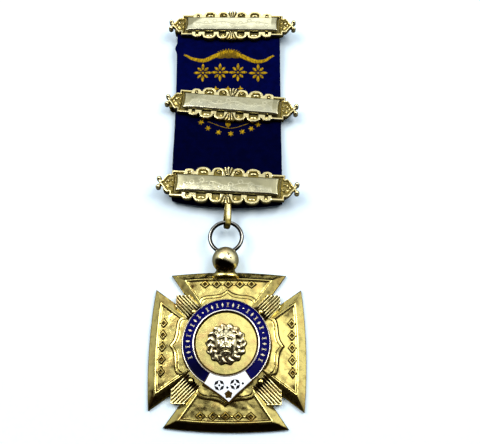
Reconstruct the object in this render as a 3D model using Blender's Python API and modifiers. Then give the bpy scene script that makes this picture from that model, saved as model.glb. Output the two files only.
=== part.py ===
"""Fraternal lodge jewel: three scroll-edged bars on a folded ribbon, with a rayed cross hung below.

The jewel lies on its back on the plane z = 0. The origin is the centre of the cross's back face,
+Y runs up the ribbon to the top bar, and +Z points out of the front. Lengths are in metres.
"""

import math
from collections import namedtuple

import bmesh
import bpy
import numpy as np
from mathutils import Matrix, Vector

# Fits between pieces
SEAT_GAP = 0.0003
WELD_DISTANCE = 0.000002
FLAT_ANGLE = math.radians(0.5)
DRAWING_SCALE = 1000.0
STAND_UP = Matrix(((1, 0, 0, 0), (0, 0, -1, 0), (0, 1, 0, 0), (0, 0, 0, 1)))
STAND_ASIDE = Matrix(((0, 0, 1, 0), (1, 0, 0, 0), (0, 1, 0, 0), (0, 0, 0, 1)))

# Ribbon
RIBBON_WIDTH = 0.0322
RIBBON_THICK = 0.0010
RIBBON_CENTRE_X = -0.0013
TOP_TAIL_LENGTH = 0.0062
BOTTOM_TAIL_LENGTH = 0.0120
BOTTOM_FOLD_SLACK = 0.0022
SAG_STEPS = 6
FOLD_STEPS = 8

# Bars: a die-struck frame with scallops along both edges and a scrolled end at each side
BAR_MARGIN = 0.0001
BAR_HALF_LENGTH = RIBBON_WIDTH / 2 + BAR_MARGIN
BAR_HEIGHT = 0.0080
BAR_THICK = 0.0014
BAR_FLOOR = 0.0008
BAR_LIP = 0.00042
BAR_CAMBER = 0.00012
WINDOW_MARGIN = 0.0007
END_LENGTH = 0.00413
END_ROOT_HALF = 0.0030
END_BALL_RADIUS = 0.00067
END_BALL_SPREAD = 0.0013
END_BEAD_RADIUS = 0.0004
END_NOTCH_SHARE = 0.74
END_POCKET_START = 0.06
END_POCKET_REACH = 0.72
END_POCKET_HALF = 0.74
BEAD_RISE = 0.00035
BEAD_DEPTH_SHARE = 0.45
BEAD_SIDES = (6, 4)
BALL_SWEEP = (math.radians(165), math.radians(435))
BALL_STEPS = 9

# Keeper strips behind the bars, which the ribbon passes or wraps
KEEPER_THICK = 0.0008
KEEPER_WIDTH = 0.0016
KEEPER_DROP = 0.0014
KEEPER_LEG = 0.0012

# Plaques set in the bars
PLAQUE_END_BAND = 0.0018
PLAQUE_LENGTH = 2 * (BAR_HALF_LENGTH - PLAQUE_END_BAND)
PLAQUE_HEIGHT = 0.0050
PLAQUE_THICK = 0.0010
PLAQUE_EDGE = 0.00035
PLAQUE_BEVEL = 0.0007
PLAQUE_END_BOW = 0.0003
BOW_HALFWAY = 0.75

# Brooch pin with its hinge lug and catch, behind the top bar
PIN_RADIUS = 0.00045
PIN_POINT_RADIUS = 0.00015
PIN_OVERHANG = 0.0012
PIN_RISE = 0.0027
LUG_INSET = 0.0034
LUG_SPACING = 2 * (BAR_HALF_LENGTH - LUG_INSET)
LUG_LENGTH = 0.0016
LUG_WIDTH = 0.0024
LUG_FLOOR = 0.0006
BORE_SIDES = 12

# Cross: four bevelled arms
CROSS_REACH = 0.02034
CROSS_BULGE = 0.00087
CROSS_HALF_CHORD = 0.01553
ARM_LEAN = math.radians(35.5)
ARM_ROOT = 0.0060
EDGE_HEIGHT = 0.00085
RIDGE_HEIGHT = 0.0025
BEVEL_WIDTH = 0.0022
RIDGE_LIP = 0.0002
FIELD_HEIGHT = 0.0022
ARM_STEPS = 6
CORNER_PASSES = 20

# Ball, bail and suspension ring
BALL_RADIUS = 0.003594
BALL_STANDOFF = 0.00273
BALL_X = -0.00080
BALL_Y = CROSS_REACH + BALL_STANDOFF
BALL_SIDES = (24, 16)
COLLAR_RADIUS = 0.0027
COLLAR_TOP_RADIUS = 0.00216
COLLAR_LENGTH = 0.0019
COLLAR_RISE = 0.0003
RING_CENTRE_X = -0.00085
RING_OUTER_RADIUS = 0.00479
RING_WIRE_RADIUS = 0.00043
RING_SINK = 0.00184
RING_CENTRE_Y = BALL_Y + BALL_RADIUS - RING_SINK + RING_OUTER_RADIUS
RING_SIDES = (36, 10)
CHANNEL_SIDES = (48, 12)
BAIL_X = -0.00050
BAIL_WIDTH = 0.00155
BAIL_STRIP = 0.00045
BAIL_BEND_RADIUS = 0.00095
BAIL_OUTER_RADIUS = BAIL_BEND_RADIUS + BAIL_STRIP
BAIL_ABOVE_RING = 0.003946
BAIL_BEND_Y = RING_CENTRE_Y + BAIL_ABOVE_RING
BAIL_DROP = 0.0086
BAIL_JOINT = 0.0011
BAIL_INNER_RISE = 0.9
BEND_STEPS = 14
BAIL_TURN = math.radians(17.0)

# Raised band of lozenges and pellets on each arm
BAND_REACH = 0.01665
BAND_COUNT = 5
BAND_PITCH = 0.0031
LOZENGE_LENGTH = 0.0021
LOZENGE_WIDTH = 0.0015
BAND_RISE = 0.0003
BAND_PELLET_RADIUS = 0.00034
LOZENGE_TOP_SHARE = 0.56

# Bundles of rays on the diagonals, trimmed to a square
RAY_SQUARE_HALF = 0.01378
RAY_STRIP_HALF = 0.02205
RAY_COUNT = 6
RAY_PITCH = 0.00083
RAY_VALLEY = 0.0015
RAY_RIDGE = 0.0021

# Lobed ledge under the roundel
LEDGE_X = -0.0001
LEDGE_Y = 0.0004
LEDGE_PEAK = 0.0146
LEDGE_HALF_WIDTH = 0.0070
LEDGE_HEIGHT = 0.0028
PELLET_REACH = 0.01235
PELLET_RADIUS = 0.00072
PELLET_SIDES = (10, 6)

# Roundel: turned tray, enamels and cast mask
ROUNDEL_X = -0.0001
ROUNDEL_Y = 0.0009
ROUNDEL_RADIUS = 0.01125
OUTER_RIM_WIDTH = 0.0003
CHANNEL_WIDTH = 0.00245
INNER_RIM_WIDTH = 0.00036
TRAY_FLOOR = 0.0006
TRAY_RIM = 0.0010
DISC_RISE = 0.0003
ENAMEL_THICK = 0.0006
ROUND_STEPS = 64
ENAMEL_STEPS = 52

# Scroll that closes the enamel ring at the foot, and its lost chip of enamel
SCROLL_TURN = math.radians(4.0)
SCROLL_HALF_ANGLE = math.radians(31.0)
SCROLL_TIP = 0.0143
SCROLL_RIM = 0.00032
SCROLL_STEP = 0.0001
SCROLL_TIP_MITRE = 1.6
SCROLL_STEPS = 8
SCROLL_ENAMEL_THICK = 0.0008
CHIP_RADIUS = 0.0009
CHIP_BACK = 0.0016
CHIP_STEPS = 14

# Lion mask
MASK_HALF_WIDTH = 0.0053
MASK_HEIGHT = 0.0023
MASK_EDGE = 0.00035
MASK_DOME = 0.42
MASK_LOCK_RISE = 0.10
MASK_LOCK_RING = 0.78
MASK_LOCK_SPREAD = 0.16
MASK_EDGE_WAVE = 0.05
MASK_CHIN = 0.08
MASK_LOCKS = 14
MASK_SPOKES = 56
MASK_RINGS = 10

Scallop = namedtuple("Scallop", "place half_width depth bead_length bead_width")
Station = namedtuple("Station", "name x y tilt stack")
Feature = namedtuple("Feature", "across up half_width half_height rise")
Finish = namedtuple("Finish", "colour roughness metallic")

# Places and widths are shares of a bar's half length, depths and beads shares of its height.
SCALLOPS = (
    Scallop(-0.690, 0.081, 0.110, 0.060, 0.045),
    Scallop(-0.453, 0.128, 0.200, 0.130, 0.060),
    Scallop(-0.182, 0.108, 0.200, 0.085, 0.070),
    Scallop(0.000, 0.068, 0.240, 0.0, 0.0),
    Scallop(0.182, 0.108, 0.200, 0.085, 0.070),
    Scallop(0.453, 0.128, 0.200, 0.130, 0.060),
    Scallop(0.690, 0.081, 0.110, 0.060, 0.045),
)
FAN = SCALLOPS[3]
OUTER_SCALLOP = SCALLOPS[-1]
SCALLOP_STEPS = 7
POCKET_STEPS = 5

# Where the bars lie: the bottom one over its bail, the others a length of ribbon further up.
TOP_BAR_X = -0.00040
MIDDLE_BAR_X = -0.00020
BOTTOM_BAR_X = -0.00073
UPPER_SPACING = 0.02904
LOWER_SPACING = 0.02763
BOTTOM_BAR_Y = BAIL_BEND_Y - BAIL_OUTER_RADIUS + BAIL_DROP + BAR_HEIGHT / 2
MIDDLE_BAR_Y = BOTTOM_BAR_Y + LOWER_SPACING
TOP_BAR_Y = MIDDLE_BAR_Y + UPPER_SPACING

# Each bar's centre and tilt as it lies, and whether the ribbon folds behind it or passes straight.
STATIONS = (
    Station("top_bar", TOP_BAR_X, TOP_BAR_Y, math.radians(-1.33), "folded"),
    Station("middle_bar", MIDDLE_BAR_X, MIDDLE_BAR_Y, math.radians(-5.76), "straight"),
    Station("bottom_bar", BOTTOM_BAR_X, BOTTOM_BAR_Y, math.radians(-3.12), "folded"),
)

# Outline of a scrolled end, as shares of its length and of its half height at the root.
END_PROFILE = ((0.00, 1.00), (0.14, 0.98), (0.30, 0.86), (0.45, 0.62), (0.57, 0.36), (0.66, 0.20))

# Beads in a scrolled end, as the same shares.
END_CLUSTER = ((0.17, -0.17), (0.17, 0.17), (0.36, 0.0))

# Outline of one ledge lobe, as shares of its half width and of its peak's reach.
LEDGE_LOBE = ((0.94, 0.735), (1.00, 0.780), (0.93, 0.845), (0.57, 0.890), (0.24, 0.910), (0.09, 0.945))

# Outline of the scroll beyond the roundel, as shares of the roundel's radius and of the tip's reach.
SCROLL_FOOT = ((0.330, 0.785), (0.145, 0.895))

# Relief of the mask, as shares of its half width; a rise is a share of its height.
MASK_FEATURES = (
    Feature(0.00, -0.05, 0.50, 0.66, 0.30),
    Feature(-0.22, 0.24, 0.20, 0.09, 0.10),
    Feature(0.22, 0.24, 0.20, 0.09, 0.10),
    Feature(-0.23, 0.11, 0.10, 0.07, -0.13),
    Feature(0.23, 0.11, 0.10, 0.07, -0.13),
    Feature(0.00, 0.02, 0.10, 0.32, 0.13),
    Feature(0.00, -0.24, 0.16, 0.09, 0.14),
    Feature(-0.14, -0.39, 0.18, 0.15, 0.18),
    Feature(0.14, -0.39, 0.18, 0.15, 0.18),
    Feature(0.00, -0.64, 0.16, 0.12, 0.12),
    Feature(-0.52, 0.55, 0.13, 0.13, 0.18),
    Feature(0.52, 0.55, 0.13, 0.13, 0.18),
)

# Finishes: base colour, roughness, metallic.
FINISHES = {
    "bar_gilt": Finish((0.62, 0.46, 0.20), 0.34, 1.0),
    "plaque_gilt": Finish((0.62, 0.56, 0.42), 0.38, 1.0),
    "cross_gilt": Finish((0.68, 0.45, 0.13), 0.33, 1.0),
    "pale_gilt": Finish((0.66, 0.58, 0.40), 0.28, 1.0),
    "pin_steel": Finish((0.55, 0.54, 0.50), 0.35, 1.0),
    "ribbon_cloth": Finish((0.008, 0.010, 0.075), 0.85, 0.0),
    "blue_enamel": Finish((0.010, 0.012, 0.19), 0.12, 0.0),
    "white_enamel": Finish((0.86, 0.85, 0.82), 0.16, 0.0),
}
SMOOTH_ANGLE = math.radians(35.0)
PLAQUE_SMOOTH_ANGLE = math.radians(10.0)

# Heights that follow from the stack of ribbon, keeper and plate
FOLDED_BACK = 2 * RIBBON_THICK + KEEPER_THICK + 3 * SEAT_GAP
STRAIGHT_BACK = RIBBON_THICK + KEEPER_THICK + 2 * SEAT_GAP
FOLD_RADIUS = (KEEPER_THICK + 2 * SEAT_GAP + RIBBON_THICK) / 2
ROUNDEL_BACK = LEDGE_HEIGHT + SEAT_GAP


def clear_scene():
    for item in list(bpy.data.objects):
        bpy.data.objects.remove(item, do_unlink=True)


def new_collection(name):
    collection = bpy.data.collections.new(name)
    bpy.context.scene.collection.children.link(collection)
    return collection


def new_material(name):
    look = FINISHES[name]
    material = bpy.data.materials.new(name)
    material.use_nodes = True
    shader = material.node_tree.nodes["Principled BSDF"]
    shader.inputs["Base Color"].default_value = (*look.colour, 1.0)
    shader.inputs["Roughness"].default_value = look.roughness
    shader.inputs["Metallic"].default_value = look.metallic
    material.diffuse_color = (*look.colour, 1.0)
    return material


def add_object(name, data, collection):
    item = bpy.data.objects.new(name, data)
    collection.objects.link(item)
    return item


def meshed(item, whole_faces):
    """The curve object's evaluated form as a welded mesh object, with its flat faces whole if asked."""
    bpy.context.view_layer.update()
    graph = bpy.context.evaluated_depsgraph_get()
    mesh = bpy.data.meshes.new_from_object(item.evaluated_get(graph))
    form = bmesh.new()
    form.from_mesh(mesh)
    bmesh.ops.remove_doubles(form, verts=form.verts, dist=WELD_DISTANCE)
    if whole_faces:
        bmesh.ops.dissolve_limit(form, angle_limit=FLAT_ANGLE, verts=[], edges=form.edges)
    bmesh.ops.recalc_face_normals(form, faces=form.faces)
    form.to_mesh(mesh)
    form.free()
    name = item.name
    place = item.matrix_world.copy()
    collection = item.users_collection[0]
    bpy.data.objects.remove(item, do_unlink=True)
    solid = add_object(name, mesh, collection)
    solid.matrix_world = place
    return solid


def flat_solid(name, outlines, low, high, collection, holed=False):
    """Flat outlines extruded from low to high; in a holed one an outline inside another is open.

    The outline is filled at DRAWING_SCALE, because a fill loses triangles as small as these
    in metres, and is then brought back to size with its faces exactly at the two heights.
    """
    curve = bpy.data.curves.new(name, "CURVE")
    curve.dimensions = "2D"
    curve.fill_mode = "BOTH"
    curve.extrude = DRAWING_SCALE * (high - low) / 2
    for outline in outlines:
        spline = curve.splines.new("POLY")
        spline.points.add(len(outline) - 1)
        for point, (x, y) in zip(spline.points, outline):
            point.co = (DRAWING_SCALE * x, DRAWING_SCALE * y, 0.0, 1.0)
        spline.use_cyclic_u = True
    solid = meshed(add_object(name, curve, collection), whole_faces=not holed)
    for vertex in solid.data.vertices:
        x, y, z = vertex.co
        vertex.co = (x / DRAWING_SCALE, y / DRAWING_SCALE, low if z < 0.0 else high)
    return solid


def lofted_solid(name, sections, collection):
    """A closed body through sections of equal count, each a list of (x, y, z) around the axis."""
    count = len(sections[0])
    points = [point for section in sections for point in section]
    faces = [tuple(range(count - 1, -1, -1))]
    for level in range(len(sections) - 1):
        start = level * count
        for index in range(count):
            after = (index + 1) % count
            faces.append((start + index, start + after, start + count + after, start + count + index))
    last = (len(sections) - 1) * count
    faces.append(tuple(range(last, last + count)))
    mesh = bpy.data.meshes.new(name)
    mesh.from_pydata(points, [], faces)
    mesh.update()
    return add_object(name, mesh, collection)


def block(name, low, high, collection):
    """A plain box between two corners."""
    form = bmesh.new()
    size = [b - a for a, b in zip(low, high)]
    centre = [(a + b) / 2 for a, b in zip(low, high)]
    bmesh.ops.create_cube(form, size=1.0, matrix=Matrix.Translation(centre) @ Matrix.Diagonal((*size, 1.0)))
    mesh = bpy.data.meshes.new(name)
    form.to_mesh(mesh)
    form.free()
    return add_object(name, mesh, collection)


def round_bar(name, start, end, start_radius, end_radius, steps, collection):
    """A cylinder or cone with caps between two points."""
    way = Vector(end) - Vector(start)
    turn = way.to_track_quat("Z", "Y").to_matrix().to_4x4()
    place = Matrix.Translation((Vector(start) + Vector(end)) / 2) @ turn
    form = bmesh.new()
    bmesh.ops.create_cone(form, cap_ends=True, segments=steps, radius1=start_radius,
                          radius2=end_radius, depth=way.length, matrix=place)
    mesh = bpy.data.meshes.new(name)
    form.to_mesh(mesh)
    form.free()
    return add_object(name, mesh, collection)


def add_bead(form, centre, half_sizes, across, down):
    """One oval bead in an open mesh form."""
    place = Matrix.Translation(centre) @ Matrix.Diagonal((*half_sizes, 1.0))
    bmesh.ops.create_uvsphere(form, u_segments=across, v_segments=down, radius=1.0, matrix=place)


def form_to_object(form, name, collection):
    mesh = bpy.data.meshes.new(name)
    form.to_mesh(mesh)
    form.free()
    return add_object(name, mesh, collection)


def combine(solid, other, operation):
    """Adds a Boolean that joins, cuts or trims the solid by the other piece."""
    step = solid.modifiers.new(other.name, "BOOLEAN")
    step.operation = operation
    step.object = other
    step.solver = "EXACT"
    other.hide_render = True
    other.display_type = "WIRE"


def finish(solid, material, smooth_angle=SMOOTH_ANGLE):
    """Gives the piece its one material and shades its round faces smooth."""
    solid.data.materials.clear()
    solid.data.materials.append(material)
    solid.data.shade_smooth()
    solid.data.set_sharp_from_angle(angle=smooth_angle)


def arc(centre, radii, start, end, steps):
    """Points on an oval arc, both ends included."""
    angles = np.linspace(start, end, steps + 1)
    return [(centre[0] + radii[0] * math.cos(a), centre[1] + radii[1] * math.sin(a)) for a in angles]


def turned(points, angle, centre=(0.0, 0.0)):
    """The flat points turned about the origin and moved to a centre."""
    cosine, sine = math.cos(angle), math.sin(angle)
    return [(centre[0] + x * cosine - y * sine, centre[1] + x * sine + y * cosine) for x, y in points]


def bar_back(station):
    """Height of the back of a bar's plate over the surface that the jewel lies on."""
    return FOLDED_BACK if station.stack == "folded" else STRAIGHT_BACK


def scrolled_end():
    """Lower half of the right-hand end of a bar, from its root to the middle of its notch."""
    points = [(BAR_HALF_LENGTH + out * END_LENGTH, -up * END_ROOT_HALF) for out, up in END_PROFILE]
    ball = (BAR_HALF_LENGTH + END_LENGTH - END_BALL_RADIUS, -END_BALL_SPREAD)
    points += arc(ball, (END_BALL_RADIUS, END_BALL_RADIUS), *BALL_SWEEP, BALL_STEPS)
    points.append((BAR_HALF_LENGTH + END_NOTCH_SHARE * END_LENGTH, 0.0))
    return points


def edge_height(x):
    """Half height of a bar's frame at a place along it: the long edges bow out a little."""
    return BAR_HEIGHT / 2 + BAR_CAMBER * (1 - (x / BAR_HALF_LENGTH) ** 2)


def scalloped_edge():
    """Lower edge of a bar from left to right: half ovals that stand out from the bowed edge."""
    points = [(-BAR_HALF_LENGTH, -BAR_HEIGHT / 2)]
    for scallop in SCALLOPS:
        centre = (scallop.place * BAR_HALF_LENGTH, 0.0)
        radii = (scallop.half_width * BAR_HALF_LENGTH, scallop.depth * BAR_HEIGHT)
        lobe = arc(centre, radii, math.pi, 2 * math.pi, SCALLOP_STEPS)
        points += [(x, y - edge_height(x)) for x, y in lobe]
    return points + [(BAR_HALF_LENGTH, -BAR_HEIGHT / 2)]


def bar_outline():
    """Outline of a bar: scalloped lower edge and right end, then the same turned half round."""
    end = scrolled_end()
    half = scalloped_edge() + end + [(x, -y) for x, y in reversed(end[:-1])]
    return half + [(-x, -y) for x, y in half]


def bar_pockets():
    """Outlines sunk into the face of a bar: the plaque's window, the scallops and the two ends."""
    half_x = PLAQUE_LENGTH / 2 + WINDOW_MARGIN
    half_y = PLAQUE_HEIGHT / 2 + WINDOW_MARGIN
    pockets = [[(-half_x, -half_y), (half_x, -half_y), (half_x, half_y), (-half_x, half_y)]]
    base = half_y + BAR_LIP
    for scallop in SCALLOPS:
        if not scallop.bead_length:
            continue
        radii = (scallop.half_width * BAR_HALF_LENGTH - BAR_LIP,
                 BAR_HEIGHT / 2 + scallop.depth * BAR_HEIGHT - BAR_LIP - base)
        for side in (-1, 1):
            rim = arc((scallop.place * BAR_HALF_LENGTH, base), radii, 0.0, math.pi, POCKET_STEPS)
            pockets.append([(x, side * y) for x, y in rim])
    inner = [(BAR_HALF_LENGTH + (END_POCKET_START + END_POCKET_REACH * out) * END_LENGTH,
              -END_POCKET_HALF * up * END_ROOT_HALF) for out, up in END_PROFILE]
    loop = inner + [(x, -y) for x, y in reversed(inner)]
    pockets.append(loop)
    pockets.append([(-x, y) for x, y in loop])
    return pockets


def bar_beads(name, floor, collection):
    """Oval beads in the scallops and a cluster of three in each end."""
    form = bmesh.new()
    base = PLAQUE_HEIGHT / 2 + WINDOW_MARGIN + BAR_LIP
    for scallop in SCALLOPS:
        if not scallop.bead_length:
            continue
        depth = BAR_HEIGHT / 2 + scallop.depth * BAR_HEIGHT - BAR_LIP - base
        half = (scallop.bead_length * BAR_HEIGHT, scallop.bead_width * BAR_HEIGHT, BEAD_RISE)
        for side in (-1, 1):
            place = (scallop.place * BAR_HALF_LENGTH, side * (base + BEAD_DEPTH_SHARE * depth), floor)
            add_bead(form, place, half, *BEAD_SIDES)
    for side in (-1, 1):
        for out, up in END_CLUSTER:
            place = (side * (BAR_HALF_LENGTH + out * END_LENGTH), up * END_ROOT_HALF, floor)
            add_bead(form, place, (END_BEAD_RADIUS, END_BEAD_RADIUS, BEAD_RISE), *BEAD_SIDES)
    return form_to_object(form, name + "_beads", collection)


def keeper_span(station):
    """Left and right ends of a keeper in the bar's own frame, clear of the ribbon's edges."""
    left = RIBBON_CENTRE_X - RIBBON_WIDTH / 2 - SEAT_GAP - station.x
    right = RIBBON_CENTRE_X + RIBBON_WIDTH / 2 + SEAT_GAP - station.x
    lean = abs(math.tan(station.tilt)) * BAR_HEIGHT / 2
    return left - lean, right + lean


def build_keeper(station, collection):
    """Strip behind the ribbon, with a leg up to the plate beyond each of the ribbon's edges."""
    back = bar_back(station)
    top = back - 2 * SEAT_GAP - RIBBON_THICK
    left, right = keeper_span(station)
    upper = -KEEPER_DROP + KEEPER_WIDTH / 2
    lower = -KEEPER_DROP - KEEPER_WIDTH / 2
    sunk = BAR_FLOOR / 2
    outline = [(left - KEEPER_LEG, top - KEEPER_THICK), (right + KEEPER_LEG, top - KEEPER_THICK),
               (right + KEEPER_LEG, back + sunk), (right, back + sunk), (right, top), (left, top),
               (left, back + sunk), (left - KEEPER_LEG, back + sunk)]
    keeper = flat_solid(station.name + "_keeper", [outline], -upper, -lower, collection)
    keeper.data.transform(STAND_UP)
    return keeper


def build_lugs(station, collection):
    """Hinge lug and catch for the brooch pin: blocks with the holes and slot that the pin lies in."""
    back = bar_back(station)
    hole = PIN_RADIUS + SEAT_GAP
    pin_z = LUG_FLOOR + hole
    half = LUG_LENGTH / 2
    form_low, form_high = PIN_RISE - LUG_WIDTH / 2, PIN_RISE + LUG_WIDTH / 2
    pieces = []
    for side, label in ((1, "hinge"), (-1, "catch")):
        middle = side * LUG_SPACING / 2
        lug = block(f"{station.name}_{label}_lug", (middle - half, form_low, 0.0),
                    (middle + half, form_high, back + BAR_FLOOR / 2), collection)
        pieces.append(lug)
    reach = LUG_SPACING / 2 + 2 * LUG_LENGTH
    bore = round_bar(f"{station.name}_pin_bore", (0.0, PIN_RISE, pin_z), (reach, PIN_RISE, pin_z),
                     hole, hole, BORE_SIDES, collection)
    slot = block(f"{station.name}_catch_slot", (-reach, PIN_RISE - hole, pin_z - hole),
                 (0.0, form_high + SEAT_GAP, pin_z + hole), collection)
    return pieces, [bore, slot]


def teardrop(radius, apex):
    """Outline of a hairpin loop: an arc about the bend's centre and two straight sides to the apex."""
    centre = (0.0, 0.0)
    reach = math.hypot(*apex)
    heading = math.atan2(apex[1], apex[0])
    spread = math.acos(radius / reach)
    points = arc(centre, (radius, radius), heading + spread, heading - spread + 2 * math.pi, BEND_STEPS)
    return points + [apex]


def build_bail(station, collection):
    """Strip loop soldered behind the fan of the bottom bar, bent round the ring's wire."""
    fan_edge = station.y - BAR_HEIGHT / 2 - FAN.depth * BAR_HEIGHT
    rise = bar_back(station) + BAR_FLOOR / 2 - BALL_RADIUS
    outer_apex = (fan_edge + BAIL_JOINT - BAIL_BEND_Y, rise)
    inner_apex = (fan_edge - BAIL_JOINT - BAIL_BEND_Y, BAIL_INNER_RISE * rise)
    outlines = [teardrop(BAIL_OUTER_RADIUS, outer_apex), teardrop(BAIL_BEND_RADIUS, inner_apex)]
    bail = flat_solid("bail", outlines, -BAIL_WIDTH / 2, BAIL_WIDTH / 2, collection, holed=True)
    twist = Matrix.Rotation(BAIL_TURN, 4, "Y")
    bail.data.transform(Matrix.Translation((BAIL_X, BAIL_BEND_Y, BALL_RADIUS)) @ twist @ STAND_ASIDE)
    return bail


def build_bar(station, material, parts, helpers):
    """One bar: struck plate with sunk scallops, beads, and its keeper, lugs or bail as one solid."""
    back = bar_back(station)
    place = Matrix.Translation((station.x, station.y, 0.0)) @ Matrix.Rotation(station.tilt, 4, "Z")
    bar = flat_solid(station.name, [bar_outline()], back, back + BAR_THICK, parts)
    floor = back + BAR_FLOOR
    pockets = flat_solid(station.name + "_pockets", bar_pockets(), floor, back + 2 * BAR_THICK, helpers)
    beads = bar_beads(station.name, floor, helpers)
    keeper = build_keeper(station, helpers)
    combine(bar, pockets, "DIFFERENCE")
    combine(bar, beads, "UNION")
    combine(bar, keeper, "UNION")
    moved = [bar, pockets, beads, keeper]
    if station.name == "top_bar":
        lugs, cutters = build_lugs(station, helpers)
        for lug in lugs:
            combine(bar, lug, "UNION")
        for cutter in cutters:
            combine(bar, cutter, "DIFFERENCE")
        moved += lugs + cutters
    for item in moved:
        item.matrix_world = place @ item.matrix_world
    if station.name == "bottom_bar":
        combine(bar, build_bail(station, helpers), "UNION")
    finish(bar, material)


def plaque_section(inset, height):
    """Outline of a plaque drawn in by an inset, with its two ends bowed inwards."""
    half_x = PLAQUE_LENGTH / 2 - inset
    half_y = PLAQUE_HEIGHT / 2 - inset
    halfway_x = half_x - BOW_HALFWAY * PLAQUE_END_BOW
    right = [(half_x, -half_y), (halfway_x, -half_y / 2), (half_x - PLAQUE_END_BOW, 0.0),
             (halfway_x, half_y / 2), (half_x, half_y)]
    left = [(-x, -y) for x, y in right]
    return [(x, y, height) for x, y in right + left]


def build_plaque(station, material, parts):
    """Cushion-topped plaque that sits in the bar's window."""
    low = bar_back(station) + BAR_FLOOR + SEAT_GAP
    sections = [plaque_section(0.0, low), plaque_section(0.0, low + PLAQUE_EDGE),
                plaque_section(PLAQUE_BEVEL, low + PLAQUE_THICK)]
    plaque = lofted_solid(station.name + "_plaque", sections, parts)
    plaque.location = (station.x, station.y, 0.0)
    plaque.rotation_euler.z = station.tilt
    finish(plaque, material, PLAQUE_SMOOTH_ANGLE)


def build_pin(station, material, parts):
    """Pin wire through the hinge lug, across the back, into the catch, with a drawn point."""
    pin_z = LUG_FLOOR + PIN_RADIUS + SEAT_GAP
    reach = LUG_SPACING / 2 + LUG_LENGTH / 2 + PIN_OVERHANG
    curve = bpy.data.curves.new("brooch_pin", "CURVE")
    curve.dimensions = "3D"
    curve.bevel_depth = PIN_RADIUS
    curve.bevel_resolution = 2
    curve.use_fill_caps = True
    spline = curve.splines.new("POLY")
    spline.points.add(2)
    places = ((reach, 1.0), (PIN_OVERHANG - reach, 1.0), (-reach, PIN_POINT_RADIUS / PIN_RADIUS))
    for point, (x, share) in zip(spline.points, places):
        point.co = (x, PIN_RISE, pin_z, 1.0)
        point.radius = share
    pin = meshed(add_object("brooch_pin", curve, parts), whole_faces=False)
    pin.location = (station.x, station.y, 0.0)
    pin.rotation_euler.z = station.tilt
    finish(pin, material)


def ribbon_path():
    """Middle line of the ribbon as (y, z): tail, fold, the run behind the three bars, fold, tail."""
    top, middle, bottom = STATIONS
    tail_z = RIBBON_THICK / 2
    front_z = tail_z + 2 * FOLD_RADIUS
    pass_z = STRAIGHT_BACK - SEAT_GAP - RIBBON_THICK / 2
    fold_z = (tail_z + front_z) / 2
    cover = BAR_HEIGHT / 2 + FAN.depth * BAR_HEIGHT + SEAT_GAP
    top_fold = top.y - KEEPER_DROP + KEEPER_WIDTH / 2
    bottom_fold = bottom.y - BAR_HEIGHT / 2 - BOTTOM_FOLD_SLACK + FOLD_RADIUS + RIBBON_THICK / 2
    lean = math.tan(abs(middle.tilt)) * BAR_HALF_LENGTH * OUTER_SCALLOP.place
    path = [(top_fold - TOP_TAIL_LENGTH, tail_z)]
    path += arc((top_fold, fold_z), (FOLD_RADIUS, FOLD_RADIUS), -math.pi / 2, math.pi / 2, FOLD_STEPS)
    path += sagging_run((top.y - cover, front_z), (middle.y + cover + lean, pass_z))
    path += sagging_run((middle.y - cover - lean, pass_z), (bottom.y + cover, front_z))
    path += arc((bottom_fold, fold_z), (FOLD_RADIUS, FOLD_RADIUS), math.pi / 2, 3 * math.pi / 2, FOLD_STEPS)
    path.append((bottom_fold + BOTTOM_TAIL_LENGTH, tail_z))
    return path


def sagging_run(start, end):
    """Points between two places whose height eases from one to the other as half a cosine wave."""
    points = []
    for share in np.linspace(0.0, 1.0, SAG_STEPS + 1):
        eased = (1 - math.cos(math.pi * share)) / 2
        points.append((start[0] + (end[0] - start[0]) * share, start[1] + (end[1] - start[1]) * eased))
    return points


def offset_path(path, distance):
    """The path moved sideways, with mitred corners."""
    line = np.array(path)
    steps = np.diff(line, axis=0)
    normals = np.column_stack((-steps[:, 1], steps[:, 0])) / np.linalg.norm(steps, axis=1)[:, None]
    before = np.vstack((normals[:1], normals))
    after = np.vstack((normals, normals[-1:]))
    mitre = before + after
    mitre /= (1.0 + np.sum(before * after, axis=1))[:, None]
    return [tuple(point) for point in line + distance * mitre]


def ribbon_lean(y):
    """Slope across the ribbon at a height: its folds lie along the tilted keepers."""
    top, _, bottom = STATIONS
    share = min(max((y - bottom.y) / (top.y - bottom.y), 0.0), 1.0)
    return math.tan(bottom.tilt) + share * (math.tan(top.tilt) - math.tan(bottom.tilt))


def build_ribbon(material, parts):
    """Ribbon as a wall of even thickness along its path, with its folds along the keepers."""
    path = ribbon_path()
    outline = offset_path(path, RIBBON_THICK / 2) + offset_path(path, -RIBBON_THICK / 2)[::-1]
    sections = []
    for x in (RIBBON_CENTRE_X - RIBBON_WIDTH / 2, RIBBON_CENTRE_X + RIBBON_WIDTH / 2):
        sections.append([(x, y + x * ribbon_lean(y), z) for y, z in outline])
    ribbon = lofted_solid("ribbon", sections, parts)
    form = bmesh.new()
    form.from_mesh(ribbon.data)
    bmesh.ops.recalc_face_normals(form, faces=form.faces)
    form.to_mesh(ribbon.data)
    form.free()
    finish(ribbon, material)


def build_ring(material, parts):
    """Suspension ring that lies through the ball's channel and the bail."""
    bpy.ops.mesh.primitive_torus_add(
        major_segments=RING_SIDES[0], minor_segments=RING_SIDES[1],
        major_radius=RING_OUTER_RADIUS - RING_WIRE_RADIUS,
        minor_radius=RING_WIRE_RADIUS, location=(RING_CENTRE_X, RING_CENTRE_Y, BALL_RADIUS))
    ring = bpy.context.object
    ring.name = "suspension_ring"
    for collection in list(ring.users_collection):
        collection.objects.unlink(ring)
    parts.objects.link(ring)
    finish(ring, material)


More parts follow.
